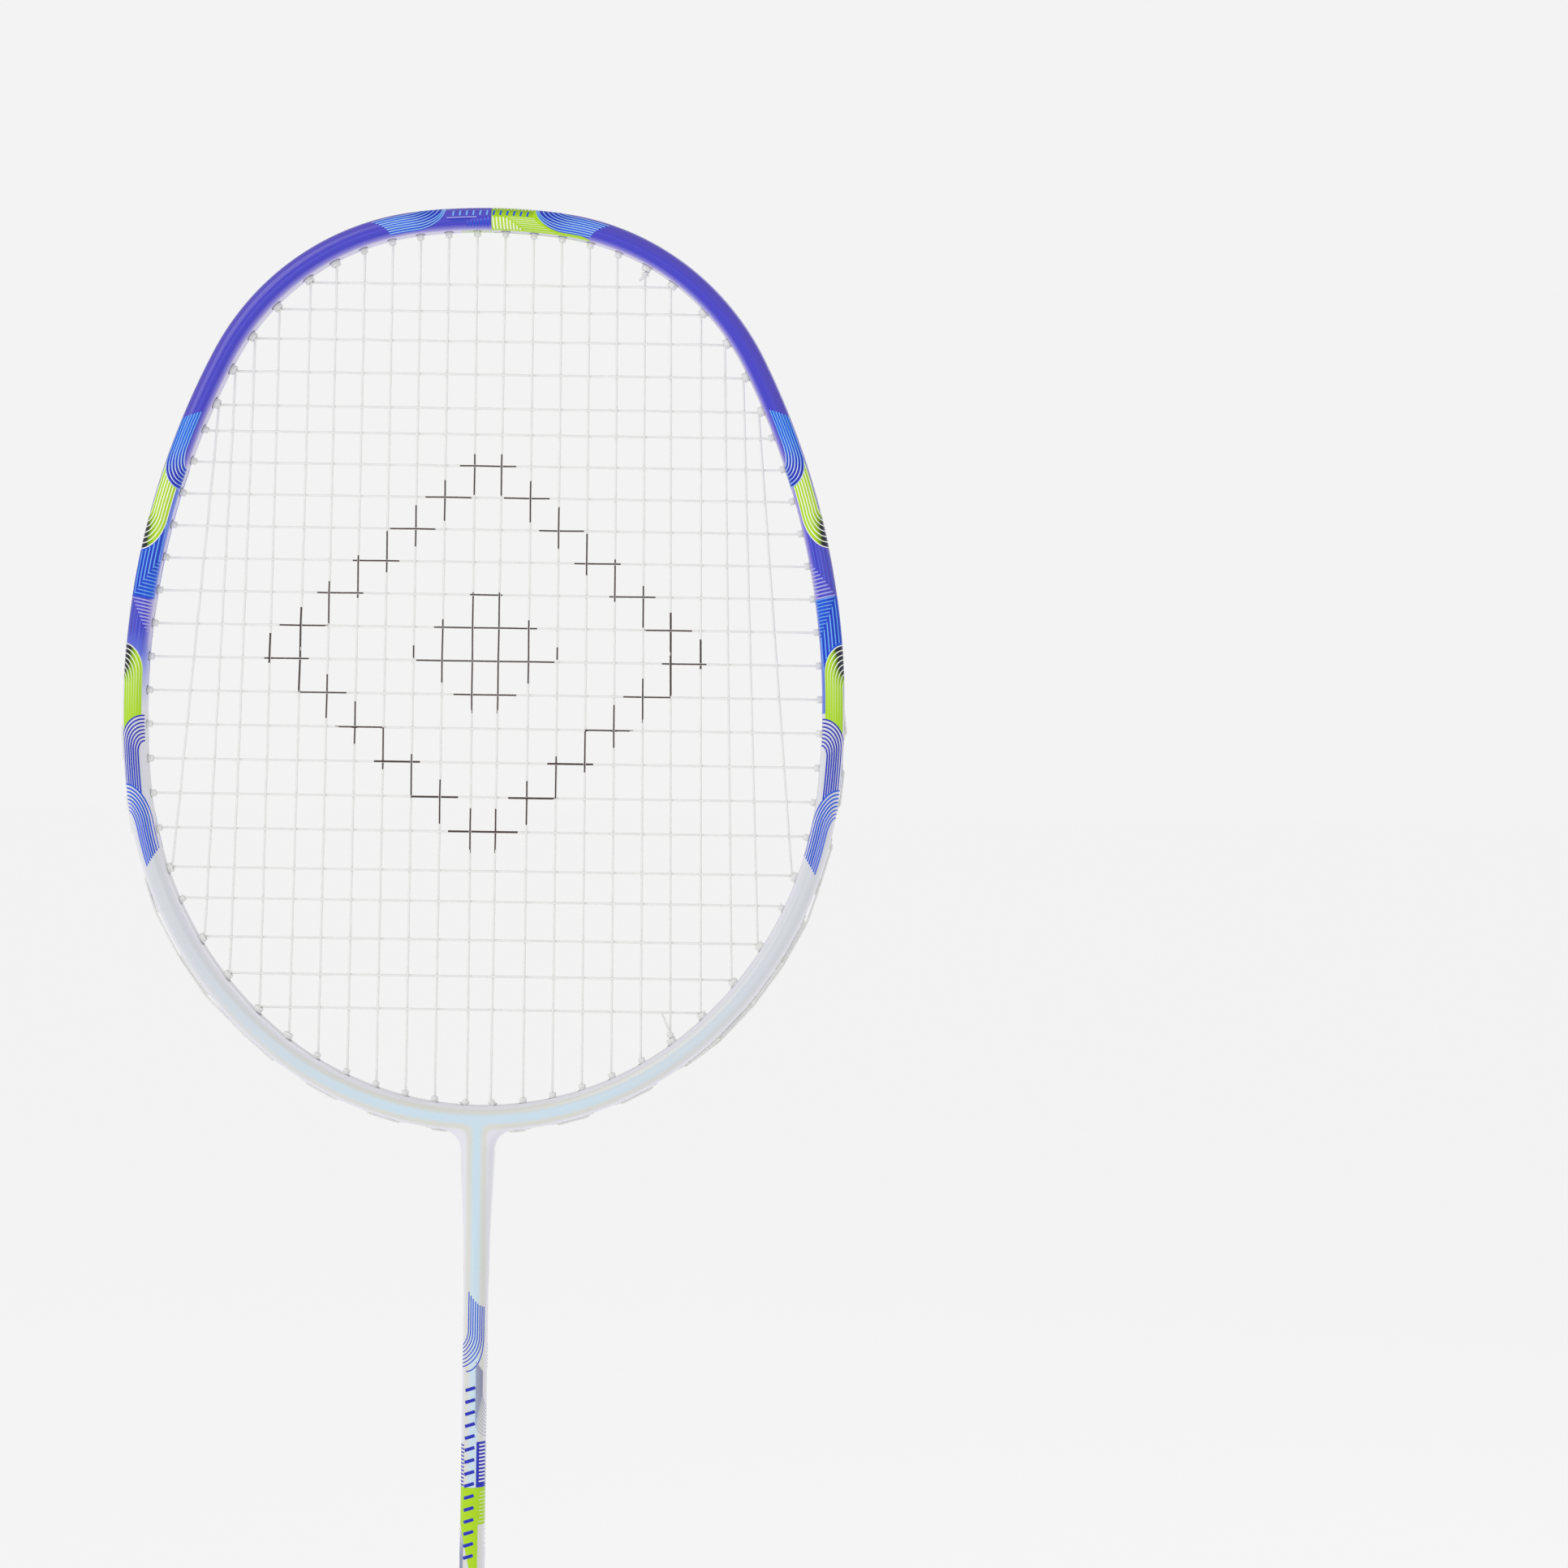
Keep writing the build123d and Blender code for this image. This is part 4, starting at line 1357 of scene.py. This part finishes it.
def handle_size(z):
    """Width and depth under the grip at some height."""
    def blend(first, second, share):
        return [a + (b - a) * share for a, b in zip(first, second)]
    if z < cap_top_z:
        return blend(cap_flare, core_size, (z - grip_bottom_z) / (cap_top_z - grip_bottom_z))
    if z > core_top_z:
        share = (z - core_top_z) / (cone_top_z - core_top_z)
        return blend(core_size, (cone_top_diameter, cone_top_diameter), share)
    return core_size


def octagon_ring(width, depth, inset):
    """Points round a bevelled rectangle, pulled in by the inset each one has."""
    x, y = width / 2, depth / 2
    bevel = bevel_share * width
    corners = [(x, bevel - y), (x, y - bevel), (x - bevel, y), (bevel - x, y),
               (-x, y - bevel), (-x, bevel - y), (bevel - x, -y), (x - bevel, -y)]
    ring = []
    for a, b in zip(corners, corners[1:] + corners[:1]):
        ring += [Vector(a).lerp(Vector(b), k / corner_points) for k in range(corner_points)]
    for _ in range(corner_softenings):
        ring = [(a + 2 * b + c) / 4 for a, b, c in zip(ring[-1:] + ring[:-1], ring, ring[1:] + ring[:1])]
    return [p - p.normalized() * inset(k / len(ring)) for k, p in enumerate(ring)]


def wrap_rise(z, share):
    """Height above the edge of the tape's turn, at a height and share of a turn."""
    return ((z / wrap_pitch + share) % 1) * wrap_pitch


# Nearness to the edge of the tape's turn: it sinks the seam, and sets its painted shade.
def wrap_seam(z, share):
    return limited(1 - wrap_rise(z, share) / seam_width)


def wrap_inset(z, share):
    """How far the tape's surface lies under its highest turn."""
    step = overlap_height * limited((wrap_rise(z, share) - overlap_width) / overlap_slope)
    return seam_depth * wrap_seam(z, share) + step


def sleeve_ring(z, thickness, inset=lambda share: 0.0):
    """Ring of points at some height, some thickness outside the handle."""
    width, depth = (size + 2 * thickness for size in handle_size(z))
    return [(*p, z) for p in octagon_ring(width, depth, inset)]


ring_sides = 8 * corner_points


def make_grip():
    heights = steps(grip_bottom_z, grip_top_z, grip_step)
    vertices, seam_shades = [], []
    for z in heights:
        vertices += sleeve_ring(z, grip_thickness, lambda share: wrap_inset(z, share))
        # Painted shade along the seam of each turn.
        seam_shades += [wrap_seam(z, k / ring_sides) for k in range(ring_sides)]
    for z in reversed(heights):
        vertices += sleeve_ring(z, grip_inside)
        seam_shades += [0.0] * ring_sides
    faces = ring_faces(2 * len(heights), ring_sides, closed=True)
    grip = mesh_object("grip_wrap", vertices, faces, perforated_rubber(), tones={"seam": seam_shades})
    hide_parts("grip_tape")


band_bottom_z, band_top_z = 168.0, 182.0
band_thickness = 0.35


def make_band():
    """Tape that closes the top of the grip and runs down onto the cone."""
    over_grip = grip_thickness + band_thickness
    profile = [(band_bottom_z, over_grip)]
    profile += [(z, over_grip) for z in steps(band_bottom_z + 0.1, grip_top_z, 1)]
    profile += [(grip_top_z + 1.2, over_grip - 0.7), (grip_top_z + 2.2, band_thickness + 0.15)]
    profile += [(band_top_z - 0.4, band_thickness), (band_top_z, -0.45)]
    profile += [(grip_top_z + 0.6, -0.3), (grip_top_z + 0.1, grip_thickness)]
    profile.append((band_bottom_z, grip_thickness))
    vertices = [place for z, thickness in profile for place in sleeve_ring(z, thickness)]
    faces = ring_faces(len(profile), ring_sides, closed=True)
    tape = moulded_plastic("band_tape", colour(82, 76, 200), 0.4, grain=3000)
    band = mesh_object("band_wrap", vertices, faces, tape)
    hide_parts("finishing_band")


holes_per_turn = 15
hole_pitch = 4.8


def perforated_rubber():
    """Soft white tape with rows of small perforations and a fine tacky grain.
    Painted shade darkens the perforations and the seam of each turn of the tape.
    """
    shader = Shader("grip_rubber", Roughness=0.6)
    parts = shader.node("ShaderNodeSeparateXYZ", ("Vector", shader.place())).outputs
    angle = shader.maths("ARCTAN2", parts["Y"], parts["X"])
    around = shader.maths("COSINE", shader.maths("MULTIPLY", angle, holes_per_turn))
    rise = shader.maths("MULTIPLY", parts["Z"], 2 * math.pi / (hole_pitch * MM))
    along = shader.maths("COSINE", shader.maths("ADD", rise, angle))
    # Where the perforations lie; they are darkened with painted shade in the holes.
    dots = shader.node(
        "ShaderNodeMapRange", ("Value", shader.maths("ADD", around, along)),
        ("From Min", 1.82), ("From Max", 1.9)).outputs[0]
    soil = shader.mix(shader.noise(45, detail=4), colour(226, 226, 228), colour(238, 238, 238))
    # Painted shade along the seam of each turn of the tape.
    shade = shader.maths("MULTIPLY", shader.attribute("seam"), 0.6)
    shaded = shader.mix(shade, soil, colour(140, 142, 150))
    shader.feed("Base Color", shader.mix(dots, shaded, colour(120, 120, 126)))
    grain = shader.noise(2200, detail=3)
    shader.bump(shader.maths("SUBTRACT", grain, shader.maths("MULTIPLY", dots, 3)), 0.35, 0.00015)
    return shader.material


make_grip()
make_band()

# --- Setting: a pale floor, soft light and the camera --------------------------------------------

scene = bpy.context.scene
scene.view_settings.view_transform = "Standard"

backdrop = colour(243, 243, 243)
ambient = 0.62
world = bpy.data.worlds.new("studio")
world.use_nodes = True
world_tree = world.node_tree
lighting_sky = world_tree.nodes["Background"]
lighting_sky.inputs["Color"].default_value = (ambient, ambient, ambient, 1.0)
seen_sky = world_tree.nodes.new("ShaderNodeBackground")
seen_sky.inputs["Color"].default_value = backdrop
ray = world_tree.nodes.new("ShaderNodeLightPath")
either_sky = world_tree.nodes.new("ShaderNodeMixShader")
world_tree.links.new(ray.outputs["Is Camera Ray"], either_sky.inputs[0])
world_tree.links.new(lighting_sky.outputs[0], either_sky.inputs[1])
world_tree.links.new(seen_sky.outputs[0], either_sky.inputs[2])
world_tree.links.new(either_sky.outputs[0], world_tree.nodes["World Output"].inputs["Surface"])
scene.world = world

floor_reach = 60.0
floor_glow = 0.803  # lifts the floor to the pale tone of the backdrop
floor_mesh = bpy.data.meshes.new("floor")
floor_mesh.from_pydata(
    [(x * floor_reach, y * floor_reach, 0) for x, y in ((-1, -1), (1, -1), (1, 1), (-1, 1))],
    [], [(0, 1, 2, 3)])
floor = bpy.data.objects.new("floor", floor_mesh)
floor_shader = Shader("floor", Roughness=0.9, Specular_IOR_Level=0.0, Emission_Strength=floor_glow)
floor_shader.principled.inputs["Emission Color"].default_value = (1.0, 1.0, 1.0, 1.0)
floor_pale, floor_paler = (0.14, 0.14, 0.14, 1.0), (0.15, 0.15, 0.15, 1.0)
floor_shader.feed("Base Color", floor_shader.mix(floor_shader.noise(40), floor_pale, floor_paler))
floor_mesh.materials.append(floor_shader.material)
scene.collection.objects.link(floor)


def area_light(name, place, target, size, power):
    data = bpy.data.lights.new(name, "AREA")
    data.shape = "RECTANGLE"
    data.size, data.size_y = size
    data.energy = power
    light = bpy.data.objects.new(name, data)
    light.location = place
    light.rotation_euler = (Vector(target) - Vector(place)).to_track_quat("-Z", "Y").to_euler()
    scene.collection.objects.link(light)


head_middle = (0, 0, 0.54)
area_light("front_strip", (0.08, -1.35, 0.55), head_middle, (0.5, 0.5), 0.6)
area_light("key", (-1.0, -1.3, 1.5), head_middle, (1.2, 1.2), 9)
area_light("back_key", (1.0, 1.3, 1.5), head_middle, (1.2, 1.2), 5)

camera_data = bpy.data.cameras.new("camera")
camera_data.sensor_width = 36.0
camera_distance = 1.0
view_width = 0.4462  # width of the picture at the racket's own plane
camera_data.lens = camera_data.sensor_width * camera_distance / view_width
camera = bpy.data.objects.new("camera", camera_data)
camera_roll = math.radians(0.85)
camera.location = (0.0855, -camera_distance, 0.5127)
level_view = Matrix.Rotation(math.pi / 2, 3, "X")
camera.rotation_euler = (level_view @ Matrix.Rotation(camera_roll, 3, "Z")).to_euler()
scene.collection.objects.link(camera)
scene.camera = camera
